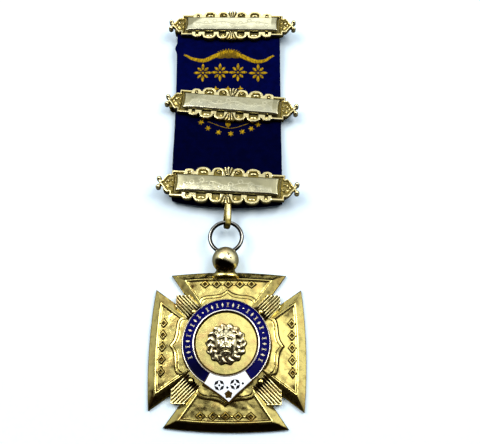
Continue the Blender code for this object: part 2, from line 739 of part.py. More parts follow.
def arm_section(inset, height):
    """Outline of one upright arm drawn in by an inset from its three open edges."""
    chord_y = CROSS_REACH - CROSS_BULGE
    radius = (CROSS_HALF_CHORD ** 2 + CROSS_BULGE ** 2) / (2 * CROSS_BULGE)
    centre_y = CROSS_REACH - radius
    edge_radius = radius - inset
    side_shift = inset / math.cos(ARM_LEAN)

    def side_x(y):
        return CROSS_HALF_CHORD - side_shift - (chord_y - y) * math.tan(ARM_LEAN)

    corner_y = chord_y - inset
    for _ in range(CORNER_PASSES):
        corner_y = centre_y + math.sqrt(edge_radius ** 2 - side_x(corner_y) ** 2)
    corner_x = side_x(corner_y)
    root_x = side_x(ARM_ROOT)
    sweep = math.asin(corner_x / edge_radius)
    edge = arc((0.0, centre_y), (edge_radius, edge_radius), math.pi / 2 - sweep, math.pi / 2 + sweep,
               ARM_STEPS)
    outline = edge + [(-root_x, ARM_ROOT), (root_x, ARM_ROOT)]
    return [(x, y, height) for x, y in outline]


def build_arm(index, helpers):
    """One arm: upright edge, wide outward bevel, bright ridge and a slightly sunk field."""
    sections = [arm_section(0.0, 0.0), arm_section(0.0, EDGE_HEIGHT), arm_section(BEVEL_WIDTH, RIDGE_HEIGHT),
                arm_section(BEVEL_WIDTH + RIDGE_LIP, FIELD_HEIGHT)]
    arm = lofted_solid(f"arm_{index}", sections, helpers)
    arm.rotation_euler.z = index * math.pi / 2
    return arm


def build_band(index, helpers):
    """Row of lozenges with pellets between them, standing on an arm's field."""
    form = bmesh.new()
    sunk = RIDGE_HEIGHT - FIELD_HEIGHT
    for step in range(BAND_COUNT):
        x = (step - (BAND_COUNT - 1) / 2) * BAND_PITCH
        height = BAND_RISE + sunk
        shape = Matrix.Diagonal((LOZENGE_LENGTH, LOZENGE_WIDTH, height, 1.0))
        place = Matrix.Translation((x, BAND_REACH, FIELD_HEIGHT - sunk + height / 2))
        bmesh.ops.create_cone(form, cap_ends=True, segments=4, radius1=0.5,
                              radius2=LOZENGE_TOP_SHARE / 2, depth=1.0, matrix=place @ shape)
        if step:
            centre = (x - BAND_PITCH / 2, BAND_REACH, FIELD_HEIGHT)
            add_bead(form, centre, (BAND_PELLET_RADIUS,) * 3, *BEAD_SIDES)
    band = form_to_object(form, f"arm_band_{index}", helpers)
    band.rotation_euler.z = index * math.pi / 2
    return band


def ray_strip(index, helpers):
    """Ribbed strip along one diagonal, its ribs parallel to it."""
    half = RAY_COUNT * RAY_PITCH / 2
    profile = [(-half, 0.0), (half, 0.0), (half, RAY_VALLEY)]
    for step in range(RAY_COUNT):
        profile.append((half - (step + 0.5) * RAY_PITCH, RAY_RIDGE))
        profile.append((half - (step + 1) * RAY_PITCH, RAY_VALLEY))
    strip = flat_solid(f"ray_strip_{index}", [profile], -RAY_STRIP_HALF, RAY_STRIP_HALF, helpers)
    strip.data.transform(STAND_UP)
    strip.rotation_euler.z = math.pi / 4 + index * math.pi / 2
    return strip


def build_rays(helpers):
    """Two crossed strips of rays, trimmed to the square that shows between the arms."""
    first = ray_strip(0, helpers)
    combine(first, ray_strip(1, helpers), "UNION")
    trim = block("ray_square", (-RAY_SQUARE_HALF, -RAY_SQUARE_HALF, -RAY_RIDGE),
                 (RAY_SQUARE_HALF, RAY_SQUARE_HALF, 2 * RAY_RIDGE), helpers)
    combine(first, trim, "INTERSECT")
    return first


def ledge_outline():
    """Four pointed lobes, one on each arm, joined across the diagonals."""
    side = [(across * LEDGE_HALF_WIDTH, out * LEDGE_PEAK) for across, out in LEDGE_LOBE]
    lobe = side + [(0.0, LEDGE_PEAK)] + [(-x, y) for x, y in reversed(side)]
    points = []
    for quarter in range(4):
        points += turned(lobe, quarter * math.pi / 2, (LEDGE_X, LEDGE_Y))
    return points


def build_pellets(helpers):
    """Four domed pellets on the diagonals, just outside the roundel."""
    form = bmesh.new()
    for quarter in range(4):
        angle = math.pi / 4 + quarter * math.pi / 2
        x = LEDGE_X + PELLET_REACH * math.cos(angle)
        y = LEDGE_Y + PELLET_REACH * math.sin(angle)
        add_bead(form, (x, y, LEDGE_HEIGHT), (PELLET_RADIUS,) * 3, *PELLET_SIDES)
    return form_to_object(form, "pellets", helpers)


def build_cross(material, parts, helpers):
    """Cross as one struck and soldered body: rays, ledge, arms, bands, pellets, ball and collar."""
    cross = flat_solid("cross", [ledge_outline()], 0.0, LEDGE_HEIGHT, parts)
    combine(cross, build_rays(helpers), "UNION")
    for index in range(4):
        combine(cross, build_arm(index, helpers), "UNION")
    for index in range(4):
        combine(cross, build_band(index, helpers), "UNION")
    combine(cross, build_pellets(helpers), "UNION")
    form = bmesh.new()
    add_bead(form, (BALL_X, BALL_Y, BALL_RADIUS), (BALL_RADIUS,) * 3, *BALL_SIDES)
    combine(cross, form_to_object(form, "ball", helpers), "UNION")
    foot = CROSS_REACH - COLLAR_LENGTH / 2
    collar_z = COLLAR_RADIUS + COLLAR_RISE
    collar = round_bar("collar", (BALL_X, foot, collar_z),
                       (BALL_X, foot + COLLAR_LENGTH, collar_z),
                       COLLAR_RADIUS, COLLAR_TOP_RADIUS, BALL_SIDES[0], helpers)
    combine(cross, collar, "UNION")
    bpy.ops.mesh.primitive_torus_add(
        major_segments=CHANNEL_SIDES[0], minor_segments=CHANNEL_SIDES[1],
        major_radius=RING_OUTER_RADIUS - RING_WIRE_RADIUS,
        minor_radius=RING_WIRE_RADIUS + SEAT_GAP, location=(RING_CENTRE_X, RING_CENTRE_Y, BALL_RADIUS))
    channel = bpy.context.object
    channel.name = "ring_channel"
    for collection in list(channel.users_collection):
        collection.objects.unlink(channel)
    helpers.objects.link(channel)
    combine(cross, channel, "DIFFERENCE")
    finish(cross, material)


def scroll_outline(inner_radius, grow):
    """Scroll plate: the inner rim's arc, two radial ends and a pointed foot, grown by a margin."""
    turn = SCROLL_HALF_ANGLE + grow / ROUNDEL_RADIUS
    down = -math.pi / 2
    arc_points = arc((0.0, 0.0), (inner_radius, inner_radius), down - turn, down + turn, SCROLL_STEPS)
    tip = SCROLL_TIP + SCROLL_TIP_MITRE * grow
    right = [((ROUNDEL_RADIUS + grow) * math.sin(turn), -(ROUNDEL_RADIUS + grow) * math.cos(turn))]
    right += [(across * ROUNDEL_RADIUS + grow, -out * tip) for across, out in SCROLL_FOOT]
    left = [(-x, y) for x, y in reversed(right)]
    return turned(arc_points + right + [(0.0, -tip)] + left, SCROLL_TURN, (ROUNDEL_X, ROUNDEL_Y))


def inner_rim_outer():
    """Radius where the enamel channel begins."""
    return ROUNDEL_RADIUS - OUTER_RIM_WIDTH - CHANNEL_WIDTH


def build_setting(material, parts, helpers):
    """Roundel tray: a turned disc with two rims and a channel, and the scroll's tray at its foot."""
    floor = ROUNDEL_BACK + TRAY_FLOOR
    rim = ROUNDEL_BACK + TRAY_FLOOR + TRAY_RIM
    disc = floor + DISC_RISE
    inner = inner_rim_outer()
    channel_outer = ROUNDEL_RADIUS - OUTER_RIM_WIDTH
    profile = [(0.0, disc), (inner - INNER_RIM_WIDTH, disc), (inner - INNER_RIM_WIDTH, rim), (inner, rim),
               (inner, floor), (channel_outer, floor), (channel_outer, rim), (ROUNDEL_RADIUS, rim),
               (ROUNDEL_RADIUS, ROUNDEL_BACK), (0.0, ROUNDEL_BACK)]
    mesh = bpy.data.meshes.new("roundel_setting")
    mesh.from_pydata([(r, 0.0, z) for r, z in profile], [(i, i + 1) for i in range(len(profile) - 1)], [])
    setting = add_object("roundel_setting", mesh, parts)
    screw = setting.modifiers.new("turned", "SCREW")
    screw.steps = ROUND_STEPS
    screw.render_steps = ROUND_STEPS
    screw.use_merge_vertices = True
    screw.merge_threshold = 0.00001
    setting.location = (ROUNDEL_X, ROUNDEL_Y, 0.0)
    tray = flat_solid("scroll_tray", [scroll_outline(inner - INNER_RIM_WIDTH / 2, SCROLL_RIM)],
                      ROUNDEL_BACK, rim, helpers)
    hollow = flat_solid("scroll_hollow", [scroll_outline(inner + SCROLL_STEP, 0.0)], floor + SCROLL_STEP,
                        rim + TRAY_RIM, helpers)
    combine(setting, tray, "UNION")
    combine(setting, hollow, "DIFFERENCE")
    finish(setting, material)


def build_blue_enamel(material, parts):
    """Ring of enamel in the channel, open where the scroll crosses it."""
    low = ROUNDEL_BACK + TRAY_FLOOR + SEAT_GAP
    inner = inner_rim_outer() + SEAT_GAP
    outer = ROUNDEL_RADIUS - OUTER_RIM_WIDTH - SEAT_GAP
    open_half = SCROLL_HALF_ANGLE + (SCROLL_RIM + 1.5 * SEAT_GAP) / inner
    start = SCROLL_TURN - math.pi / 2 + open_half
    end = SCROLL_TURN - math.pi / 2 - open_half + 2 * math.pi
    outline = arc((0.0, 0.0), (outer, outer), start, end, ENAMEL_STEPS)
    outline += arc((0.0, 0.0), (inner, inner), end, start, ENAMEL_STEPS)
    placed = turned(outline, 0.0, (ROUNDEL_X, ROUNDEL_Y))
    enamel = flat_solid("blue_enamel", [placed], low, low + ENAMEL_THICK, parts)
    finish(enamel, material)


def build_white_enamel(material, parts):
    """Enamel of the scroll, with the bare spot where a chip has fallen out."""
    low = ROUNDEL_BACK + TRAY_FLOOR + SCROLL_STEP + SEAT_GAP
    outline = scroll_outline(inner_rim_outer() + SCROLL_STEP + SEAT_GAP, -SEAT_GAP)
    chip = arc((0.0, CHIP_BACK - SCROLL_TIP), (CHIP_RADIUS, CHIP_RADIUS), 0.0, 2 * math.pi, CHIP_STEPS)[:-1]
    enamel = flat_solid("white_enamel", [outline, turned(chip, SCROLL_TURN, (ROUNDEL_X, ROUNDEL_Y))],
                        low, low + SCROLL_ENAMEL_THICK, parts, holed=True)
    finish(enamel, material)


def mask_relief(across, up, ring, spoke):
    """Height of the mask as a share: a dome, curled locks round its edge and the face's features."""
    height = MASK_DOME * (1.0 - ring ** 2) ** 0.5
    locks = np.exp(-((ring - MASK_LOCK_RING) / MASK_LOCK_SPREAD) ** 2)
    height += MASK_LOCK_RISE * np.cos(MASK_LOCKS * spoke) * locks
    for feature in MASK_FEATURES:
        near = ((across - feature.across) / feature.half_width) ** 2
        near = near + ((up - feature.up) / feature.half_height) ** 2
        height = height + feature.rise * np.exp(-near)
    return height


def build_mask(material, parts):
    """Lion mask in cast relief: rings of a lobed outline lifted by the relief, on a flat back."""
    low = ROUNDEL_BACK + TRAY_FLOOR + DISC_RISE + SEAT_GAP
    spokes = np.linspace(0.0, 2 * math.pi, MASK_SPOKES, endpoint=False)
    wave = MASK_EDGE_WAVE * np.cos(MASK_LOCKS * spokes) - MASK_CHIN * np.sin(spokes)
    reach = MASK_HALF_WIDTH * (1.0 + wave)
    sections = []
    for ring in (1.0, *np.linspace(1.0, 1.0 / MASK_RINGS, MASK_RINGS)):
        x = ring * reach * np.cos(spokes)
        y = ring * reach * np.sin(spokes)
        share = mask_relief(x / MASK_HALF_WIDTH, y / MASK_HALF_WIDTH, np.full_like(spokes, ring), spokes)
        z = low + MASK_EDGE + np.maximum(share, 0.0) * MASK_HEIGHT
        if not sections:
            z = np.full_like(x, low)
        sections.append([(a + ROUNDEL_X, b + ROUNDEL_Y, c) for a, b, c in zip(x, y, z)])
    mask = lofted_solid("lion_mask", sections, parts)
    finish(mask, material)


def build_jewel():
    """Builds every piece of the jewel in its collection."""
    clear_scene()
    parts = new_collection("lodge_jewel")
    helpers = new_collection("cutters")
    looks = {name: new_material(name) for name in FINISHES}
    for station in STATIONS:
        build_bar(station, looks["bar_gilt"], parts, helpers)
        build_plaque(station, looks["plaque_gilt"], parts)
    build_pin(STATIONS[0], looks["pin_steel"], parts)
    build_ribbon(looks["ribbon_cloth"], parts)
    build_ring(looks["pale_gilt"], parts)
    build_cross(looks["cross_gilt"], parts, helpers)
    build_setting(looks["cross_gilt"], parts, helpers)
    build_blue_enamel(looks["blue_enamel"], parts)
    build_white_enamel(looks["white_enamel"], parts)
    build_mask(looks["pale_gilt"], parts)


build_jewel()
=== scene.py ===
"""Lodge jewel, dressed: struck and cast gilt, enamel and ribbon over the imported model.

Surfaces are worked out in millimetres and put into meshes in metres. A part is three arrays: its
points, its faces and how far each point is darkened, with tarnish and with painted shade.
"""

import math

import bmesh
import bpy
import numpy as np
from bpy.props import FloatProperty, FloatVectorProperty, PointerProperty
from mathutils import Matrix, Vector


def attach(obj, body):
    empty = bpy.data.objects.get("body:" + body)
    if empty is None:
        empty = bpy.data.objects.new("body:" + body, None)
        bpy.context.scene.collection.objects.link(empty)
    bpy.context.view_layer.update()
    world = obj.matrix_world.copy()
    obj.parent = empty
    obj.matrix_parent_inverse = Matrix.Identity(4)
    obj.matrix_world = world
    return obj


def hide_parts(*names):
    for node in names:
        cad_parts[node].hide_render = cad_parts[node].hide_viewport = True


bl_info = {
    "name": "Lodge jewel",
    "version": (1, 0, 0),
    "blender": (4, 5, 0),
    "location": "View3D > Sidebar > Jewel",
    "description": "Builds a ribboned lodge jewel in struck gilt and enamel",
    "category": "Object",
}

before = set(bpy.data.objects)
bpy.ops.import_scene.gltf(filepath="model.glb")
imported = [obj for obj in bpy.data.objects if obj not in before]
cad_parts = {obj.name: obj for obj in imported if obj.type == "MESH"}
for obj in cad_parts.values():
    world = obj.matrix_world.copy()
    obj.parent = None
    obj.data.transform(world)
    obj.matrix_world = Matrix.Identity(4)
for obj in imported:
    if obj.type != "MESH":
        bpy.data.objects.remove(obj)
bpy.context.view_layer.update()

MM = 0.001
# Points closer than this, in millimetres, are merged, and edges that turn by more than the crease stay sharp
WELD = 0.0015
CREASE = math.radians(38.0)
SIDEWAYS = (1.0, 0.0, 0.0)

# Stage, in metres: the floor, the fitted camera and what the lamps point at
FLOOR_HALF = 2.5
FLOOR_LEVEL = -0.00002
CAMERA_PLACE = (0.008572, -0.022159, 0.1448)
CAMERA_TURNS = ((0.0397, "Y"), (0.3788, "X"), (0.0138, "Z"))
LENS = 41.26
SENSOR = 36.0
LENS_START = 0.01
JEWEL_MIDDLE = (0.0, 0.045, 0.0)
# Lamps: name, place, side, power and colour
SOFTBOXES = (
    ("softbox_left", (-0.375, 0.235, 0.62), 0.42, 3.7, (1.0, 0.985, 0.96)),
    ("softbox_right", (0.395, 0.235, 0.61), 0.40, 3.8, (1.0, 0.98, 0.95)),
)
# The sky's tone towards the viewer and behind the jewel, and what tints it on matt surfaces
SKY_NEAR = (0.035, 0.028, 0.022)
SKY_FAR = (0.70, 0.72, 0.74)
SKY_TINT = (0.50, 0.74, 1.0)
# Patches of the sky: direction, the angles at which each is full and gone, and colour
SKY_PATCHES = (
    ((1.0, 0.15, 0.30), 16.0, 42.0, (1.00, 1.00, 0.97)),
    ((-1.0, 0.10, 0.14), 12.0, 38.0, (0.50, 0.51, 0.50)),
    ((0.0, 0.80, 0.60), 10.0, 20.0, (1.70, 1.72, 1.70)),
    ((0.09, 0.19, 1.0), 4.5, 11.0, (1.55, 1.55, 1.50)),
)

# Bars, in millimetres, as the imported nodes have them: name, x, y, tilt, back height
BARS = (
    ("top_bar", -0.40, 101.43, math.radians(-1.33), 3.7),
    ("middle_bar", -0.20, 72.39, math.radians(-5.76), 2.4),
    ("bottom_bar", -0.73, 44.76, math.radians(-3.12), 3.7),
)
BAR_HALF = 16.2
BAR_RISE = 4.0
END_LENGTH = 4.13
END_ROOT = 3.0
END_BALL = 0.72
END_SPREAD = 1.3
END_X = BAR_HALF + END_LENGTH - END_BALL
END_NOTCH = 0.74
END_PROFILE = ((0.00, 0.93), (0.12, 0.97), (0.28, 0.87), (0.43, 0.62), (0.56, 0.35), (0.66, 0.22))
END_SWEEP = (math.radians(165.0), math.radians(435.0))
# Beads of an end, as shares of its length and of its root
END_BEADS = ((0.16, -0.24), (0.16, 0.24), (0.34, 0.0))
# Scallops: place along the bar, half width, depth beyond the frame, and what stands in the hollow
SCALLOPS = (
    (-11.10, 1.50, 0.82, "bead"), (-7.15, 2.22, 1.50, "oblong"), (-2.90, 1.95, 1.50, "volute"),
    (0.0, 1.55, 1.80, "fan"),
    (2.90, 1.95, 1.50, "volute"), (7.15, 2.22, 1.50, "oblong"), (11.10, 1.50, 0.82, "bead"),
)
# Half lengths and half heights of the window's lip and of its sunk floor
WINDOW_LIP = (15.0, 2.88)
WINDOW_SUNK = (14.82, 2.76)
# Heights of the relief: the window's floor, the hollows, and what stands over the hollows
WINDOW_FLOOR = 0.42
HOLLOW = 0.62
EDGE_RISE = 0.62
LIP_RISE = 0.46
LOOP_RISE = 0.66
# Where the scallops begin beyond the window's groove, and the half length of the row of them
GROOVE_EDGE = 2.82
LOOPS_HALF = 12.6
# For each kind of scallop: half width and reach of its hollow, then height and radii of its bead and its rise
HOLES = {"bead": (0.46, 0.46), "oblong": (1.34, 1.06), "volute": (1.12, 1.06)}
BEADS = {"bead": (3.62, (0.38, 0.34), 0.40), "oblong": (3.94, (0.98, 0.46), 0.42),
         "volute": (4.02, (0.30, 0.30), 0.52)}
# The fan's ribs spread from a point at this height, one each pitch
FAN_ORIGIN = 1.55
FAN_PITCH = math.radians(13.3)
FAN_HALF = 1.38
FAN_EDGE = ((-FAN_HALF, 5.12), (-1.34, 5.42), (-1.02, 5.68), (-0.70, 5.54), (-0.50, 5.38), (-0.32, 5.62),
            (0.0, 5.84))
# Painted shade on the upper scallops of each bar
UPPER_SHADE = 0.40

# Keeper strips behind the bars: place up the bar, drop behind its back, width, thickness and clearance
KEEPER_PLACE = -1.4
KEEPER_DROP = 2.0
KEEPER_RISE = 0.4
KEEPER_WIDTH = 1.6
KEEPER_THICK = 0.76
KEEPER_CLEAR = 0.9
# A keeper's bend: distance in from its end and height over its floor
KEEPER_BEND = ((0.0, 0.45), (0.13, 0.13), (0.45, 0.0))
# Hinge and hook: distance from the middle, place up the bar and height, radius, and heights of their posts
CLASP = (12.8, 2.7, 1.35)
CLASP_RADIUS = 0.95
CLASP_SWEEPS = ((-1, -1.4, 4.4), (1, 0.0, 6.2))
CLASP_POSTS = (2.25, 3.2, 4.1)
CLASP_WIDTH = 1.6

# Plaques
PLAQUE_HALF = (14.5, 2.62)
PLAQUE_BOW = 0.3
PLAQUE_SEAT = 1.1
# Painted shade on the plaques of the top, middle and bottom bar
PLAQUE_SHADE = (0.29, 0.58, 0.80)
# What the rubbed engraving marks add to each plaque's darkening
MARK_HAZE = (0.22, -0.22, -0.42)

# Ribbon: half its width, its middle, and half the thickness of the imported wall
RIBBON_HALF = 16.1
RIBBON_MIDDLE = -1.3
RIB_PITCH = 0.34
WARP_PITCH = 0.19
WALL_HALF = 0.5
FOLD_RISE = 0.62
# Heights of its middle line: tails, middle bar and outer bars
TAIL = 0.5
REST = 1.6
FRONT = 2.9
# The line from the upper tail to the lower one: y, height and how many points lead up to it. A fold joins
# two stops at one y.
RIBBON_STOPS = (
    (94.6, TAIL, 1), (100.8, TAIL, 22), (100.8, FRONT, 15), (95.2, FRONT, 16), (79.43, REST, 60),
    (65.35, REST, 36), (50.98, FRONT, 60), (40.26, FRONT, 30), (40.26, TAIL, 15), (52.26, TAIL, 36),
)
# Gold thread on the ribbon: where the garland runs, the rosettes' centres, the small lozenges, and the lower
# arc's leaves and thin line
GARLAND = ((-14.9, 91.0), (-12.3, 89.7), (-8.9, 89.3), (-5.2, 90.9), (-1.4, 92.5), (2.4, 90.7), (6.6, 88.8),
           (9.6, 88.8), (12.2, 90.2))
PALMETTE = (-1.4, 90.3)
ROSETTES = ((-9.4, 84.9), (-4.0, 85.0), (1.6, 84.9), (7.9, 84.6))
THREAD_LOZENGES = ((-5.2, 79.1), (-1.4, 79.1), (2.4, 79.1))
LOWER_ARC = ((-9.3, 67.1), (-7.1, 65.0), (-3.9, 63.5), (-0.2, 63.0), (3.2, 63.7), (5.9, 64.7), (7.9, 66.2))
THIN_LINE = ((-7.2, 67.3), (-0.6, 64.9), (4.9, 66.5))
TREFOIL = (-1.1, 66.2)

# Cross and what stands on it
CROSS_REACH = 20.34
CROSS_BULGE = 0.87
CROSS_HALF_CHORD = 15.53
ARM_LEAN = math.radians(35.5)
ARM_ROOT = 6.0
# Rings of an arm: inset, height and the share of the facet's darkening; a share over one darkens the ring on
# its own, painted shade at the arm's foot and at the field's edge
ARM_PROFILE = ((0.0, 0.0, 1.3), (0.0, 0.60, 1.2), (0.03, 0.92, 0.9), (0.10, 1.07, 0.7), (0.30, 1.20, 1.0),
               (0.7, 1.46, 1.0), (1.4, 1.92, 1.0), (1.9, 2.26, 0.8), (2.06, 2.42, 0.1), (2.18, 2.48, 0.0),
               (2.30, 2.46, 0.0), (2.42, 2.34, 1.05), (2.56, 2.22, 1.22), (2.80, 2.19, 0.45))
# Tarnish and painted shade on each arm, anticlockwise from the top one: its outer bevel at one end, in the
# middle and at the other end, then its two sides
ARM_TARNISH_AND_SHADE = ((0.05, 0.05, 0.10, 0.0, 0.0), (0.92, 0.08, 0.42, 0.85, 0.10), (0.93, 0.97, 0.97, 0.35, 0.45),
            (0.62, 0.02, 0.74, 0.10, 0.80))
# Painted shade on a field along its border and in its two outer corners, and how far that of each corner
# spreads
BORDER_SHADE = 0.56
CORNER_SHADE = 0.78
CORNER_SPREAD = (0.42, 0.20)
HUB = ((0.0, 2.2), (11.6, 2.2), (11.6, 0.0), (0.0, 0.0))
LOZENGE_HALF = (1.18, 0.92)
LOZENGE_PITCH = 3.1
BAND_PLACE = 16.65
# Rows of a band's lozenge from its foot to its middle: scale, height and darkening, tarnish with painted
# shade at its foot and its sunk middle
LOZENGE_ROWS = ((1.18, 2.05, 1.2), (1.15, 2.44, 0.9), (0.92, 2.62, 0.0), (0.72, 2.62, 0.0), (0.60, 2.42, 1.2),
                (0.30, 2.38, 1.1), (0.0, 2.52, 0.1))
LOZENGE_CORNERS = ((1.0, 0.0), (0.5, 0.46), (0.0, 0.92), (-0.5, 0.46), (-1.0, 0.0), (-0.5, -0.46),
                   (0.0, -0.92), (0.5, -0.46))
LEDGE_CENTRE = (-0.1, 0.4)
LEDGE_TOP = 2.78
LEDGE_LOBE = ((6.85, 10.60), (7.35, 11.50), (6.80, 12.50), (5.40, 12.98), (3.10, 13.20), (1.60, 13.55),
              (0.70, 14.05), (0.0, 14.6))
# Radius and half angle of the arc that a lobe springs from
LOBE_ARC = (10.4, math.radians(31.5))
# Rows of a lobe from its edge inwards: inset, drop below its top and darkening, tarnish with painted shade on
# its edge and in its cut line
LOBE_ROWS = ((0.0, 0.22, 1.6), (0.05, 0.10, 1.4), (0.14, 0.02, 0.4), (0.24, 0.0, 0.0), (0.66, 0.0, 0.0),
             (0.71, 0.05, 0.7), (0.76, 0.12, 1.3), (0.84, 0.12, 1.3), (0.89, 0.05, 0.7), (0.96, 0.0, 0.1),
             (1.15, 0.0, 0.05))
# Rows by their distance beyond the arc that the lobe springs from, darkened next to the roundel: a painted
# shadow of it
LOBE_ROOT_ROWS = ((2.0, 0.12), (1.4, 0.35), (1.05, 1.1), (0.0, 1.1))
PELLET_REACH = 12.35
PELLET_RADIUS = 0.90
PELLET_HEIGHT = 2.45
RAY_HALF = 2.49
RAY_COUNT = 7
RAY_CORNER = 13.78
RAY_ROOT = 9.6

# Roundel: its place and radius, and rows of its tray from the middle outwards: radius, height and darkening,
# painted shade in the groove inside the inner rim and down the outer wall
ROUNDEL = (-0.1, 0.9)
ROUNDEL_RADIUS = 11.25
TRAY_ROWS = ((0.0, 4.00, 0.1), (7.40, 4.00, 0.1), (7.58, 4.00, 0.1), (7.62, 4.00, 0.1), (7.74, 3.995, 0.9),
             (7.86, 3.97, 1.3), (8.06, 4.00, 1.3), (8.08, 4.52, 0.9), (8.13, 4.66, 0.1), (8.24, 4.72, 0.0),
             (8.36, 4.71, 0.0), (8.46, 4.64, 0.1), (8.50, 4.50, 0.4), (8.50, 4.20, 0.6), (10.95, 4.20, 0.6),
             (10.95, 4.5, 0.3), (10.99, 4.66, 0.0), (11.08, 4.72, 0.0), (11.18, 4.68, 0.0),
             (11.25, 4.55, 0.2), (11.25, 2.65, 0.8), (0.0, 2.65, 0.8))
# Bright rims: radius, half width, and the side darkened with painted shade
RIMS = ((8.28, 0.235, -1.0), (11.13, 0.115, 1.0))
RIM_HEIGHT = 4.60
RIM_RISE = 0.15
BLUE_RING = (8.49, 10.96)
# Stretches of the blue ring darkened with painted shade: middle, width and amount
RING_SHADE = ((math.radians(-137.0), 0.52, 0.95), (math.radians(-38.0), 0.34, 0.45))
# Marks inlaid in the blue ring: radius, height, first and last angle, and how many stand in each group
MOTTO_RADIUS = 9.72
MOTTO_HEIGHT = 4.60
MOTTO_SWEEP = (math.radians(203.0), math.radians(-26.0))
MOTTO_GROUPS = (9, 7, 5, 5)
# Strokes of a crossed bar and of a lozenge: place outwards, half length and half width
BAR_MARK = ((0.0, 0.76, 0.17), (-0.45, 0.14, 0.42), (0.45, 0.14, 0.42))
LOZENGE_MARK = ((0.0, 0.70, 0.31),)
SCROLL_TURN = math.radians(4.0)
SCROLL_HALF = math.radians(31.0)
SCROLL_FOOT = ((3.71, 11.23), (1.63, 12.80), (0.0, 14.30))
SCROLL_FIGURES = ((-2.15, -10.3), (1.75, -10.3))
SCROLL_DOTS = ((-0.2, -10.95), (3.65, -10.2))
FIGURE_HEIGHT = 4.86
CHIP_PLACE = -12.6
MASK_HEIGHT = 4.05
# The mask's features: centre, radii, turn and rise; those beside the middle are mirrored
MASK_FEATURES = (
    ((1.05, 1.02), (0.85, 0.30), -0.35, 0.42), ((1.12, 0.46), (0.50, 0.26), -0.15, -0.40),
    ((1.10, 0.45), (0.25, 0.19), 0.0, 0.30), ((0.0, 0.55), (0.40, 1.25), 0.0, 0.34),
    ((0.0, -0.62), (0.58, 0.36), 0.0, 0.42), ((0.30, -0.86), (0.15, 0.12), 0.0, -0.28),
    ((0.60, -1.35), (0.62, 0.52), 0.3, 0.46), ((1.75, -0.45), (0.65, 0.95), 0.2, 0.24),
    ((0.0, -2.45), (0.62, 0.42), 0.0, 0.36), ((2.55, 2.30), (0.55, 0.60), 0.7, 0.62),
    ((2.50, 2.20), (0.27, 0.30), 0.7, -0.46), ((0.42, 2.05), (0.26, 0.62), -0.2, 0.22),
    ((1.25, 1.95), (0.26, 0.50), -0.5, 0.18),
)

# Ball, ring and bail
BALL = (-0.80, 23.07, 3.594)
BALL_RADIUS = 3.594
# Spots of painted shade on the ball, dimming its lamps' reflections and its top: place from its centre, width
# and strength
BALL_SHADE_SPOTS = ((1.60, -0.34, 3.20, 0.34, 0.8), (1.05, 0.55, 3.34, 0.30, 0.55), (0.75, 1.05, 3.30, 0.26, 0.45),
             (-0.90, 0.28, 3.46, 0.80, 0.40), (1.10, 0.28, 3.42, 0.80, 0.46), (0.0, 3.30, 1.30, 0.75, 0.75))
# Rows of the ball's collar up the jewel: radius, place from the ball's centre and darkening, tarnish with
# painted shade, deepest at its foot
COLLAR_ROWS = ((0.0, -4.7, 0.9), (3.2, -4.65, 0.7), (3.55, -4.4, 0.5), (3.55, -4.0, 0.4), (3.3, -3.6, 0.3),
               (2.9, -3.25, 0.2), (2.65, -2.9, 0.1), (2.5, -2.5, 0.1), (2.3, -2.0, 0.1), (0.0, -1.8, 0.9))
COLLAR_HEIGHT = 2.35
COLLAR_SQUASH = 0.62
RING = (-0.85, 29.614, 3.594)
RING_RADIUS = 4.36
RING_WIRE = 0.54
RING_SEAM = (4.1, -1.55, 0.0)
BAIL = (-0.50, 33.56, 3.594)
BAIL_TURN = math.radians(17.0)
# The bail's bend round the ring, and where its legs start, from the bend's centre
BAIL_BEND = 1.175
BAIL_APEX = (6.0, 0.62)


def length_property(name, description, default):
    """Property for a length in metres."""
    return FloatProperty(name=name, description=description, default=default, unit="LENGTH")


def colour_property(name, description, default):
    """Property for a colour."""
    return FloatVectorProperty(name=name, description=description, default=default, subtype="COLOR", min=0.0,
                               max=1.0)


class JewelSizes(bpy.types.PropertyGroup):
    """Sizes of the soft and fine detail."""

    ribbon_width: length_property("Ribbon width", "Width of the ribbon", 0.0322)
    ribbon_thickness: length_property("Ribbon thickness", "Thickness of the woven cloth", 0.00045)
    relief_step: length_property("Relief step", "Spacing of the points of a struck relief", 0.00009)
    enamel_rise: length_property("Enamel level", "Height of the blue enamel's surface", 0.00456)


class JewelColours(bpy.types.PropertyGroup):
    """Colours of the finishes."""

    cross_gold: colour_property("Cross gilt", "Gilt of the cross", (0.90, 0.76, 0.255))
    bar_gold: colour_property("Bar gilt", "Gilt of the bars", (0.90, 0.80, 0.42))
    silver_gold: colour_property("Plaque gilt", "Pale gilt of the plaques", (0.78, 0.76, 0.54))
    # The tarnish brown also paints shade: in hollows, on walls and on faces that the light misses
    tarnish: colour_property("Tarnish", "Brown film in the hollows", (0.034, 0.018, 0.003))
    navy: colour_property("Ribbon navy", "Dye of the ribbon", (0.0002, 0.0010, 0.030))
    thread: colour_property("Gold thread", "Thread of the ribbon's garland", (0.56, 0.33, 0.003))
    blue: colour_property("Blue enamel", "Enamel of the ring", (0.0006, 0.0006, 0.085))
    white: colour_property("White enamel", "Enamel of the scroll", (0.93, 0.93, 0.94))


# Meshes


def grid_quads(rows, columns, wrap_rows=False, wrap_columns=False):
    """Corner numbers of the quads between neighbouring points of a grid, joined round where wrapped."""
    i, j = np.meshgrid(np.arange(rows if wrap_rows else rows - 1),
                       np.arange(columns if wrap_columns else columns - 1), indexing="ij")
    i_next, j_next = (i + 1) % rows, (j + 1) % columns
    corners = (i * columns + j, i * columns + j_next, i_next * columns + j_next, i_next * columns + j)
    return np.stack(corners, axis=-1).reshape(-1, 4)


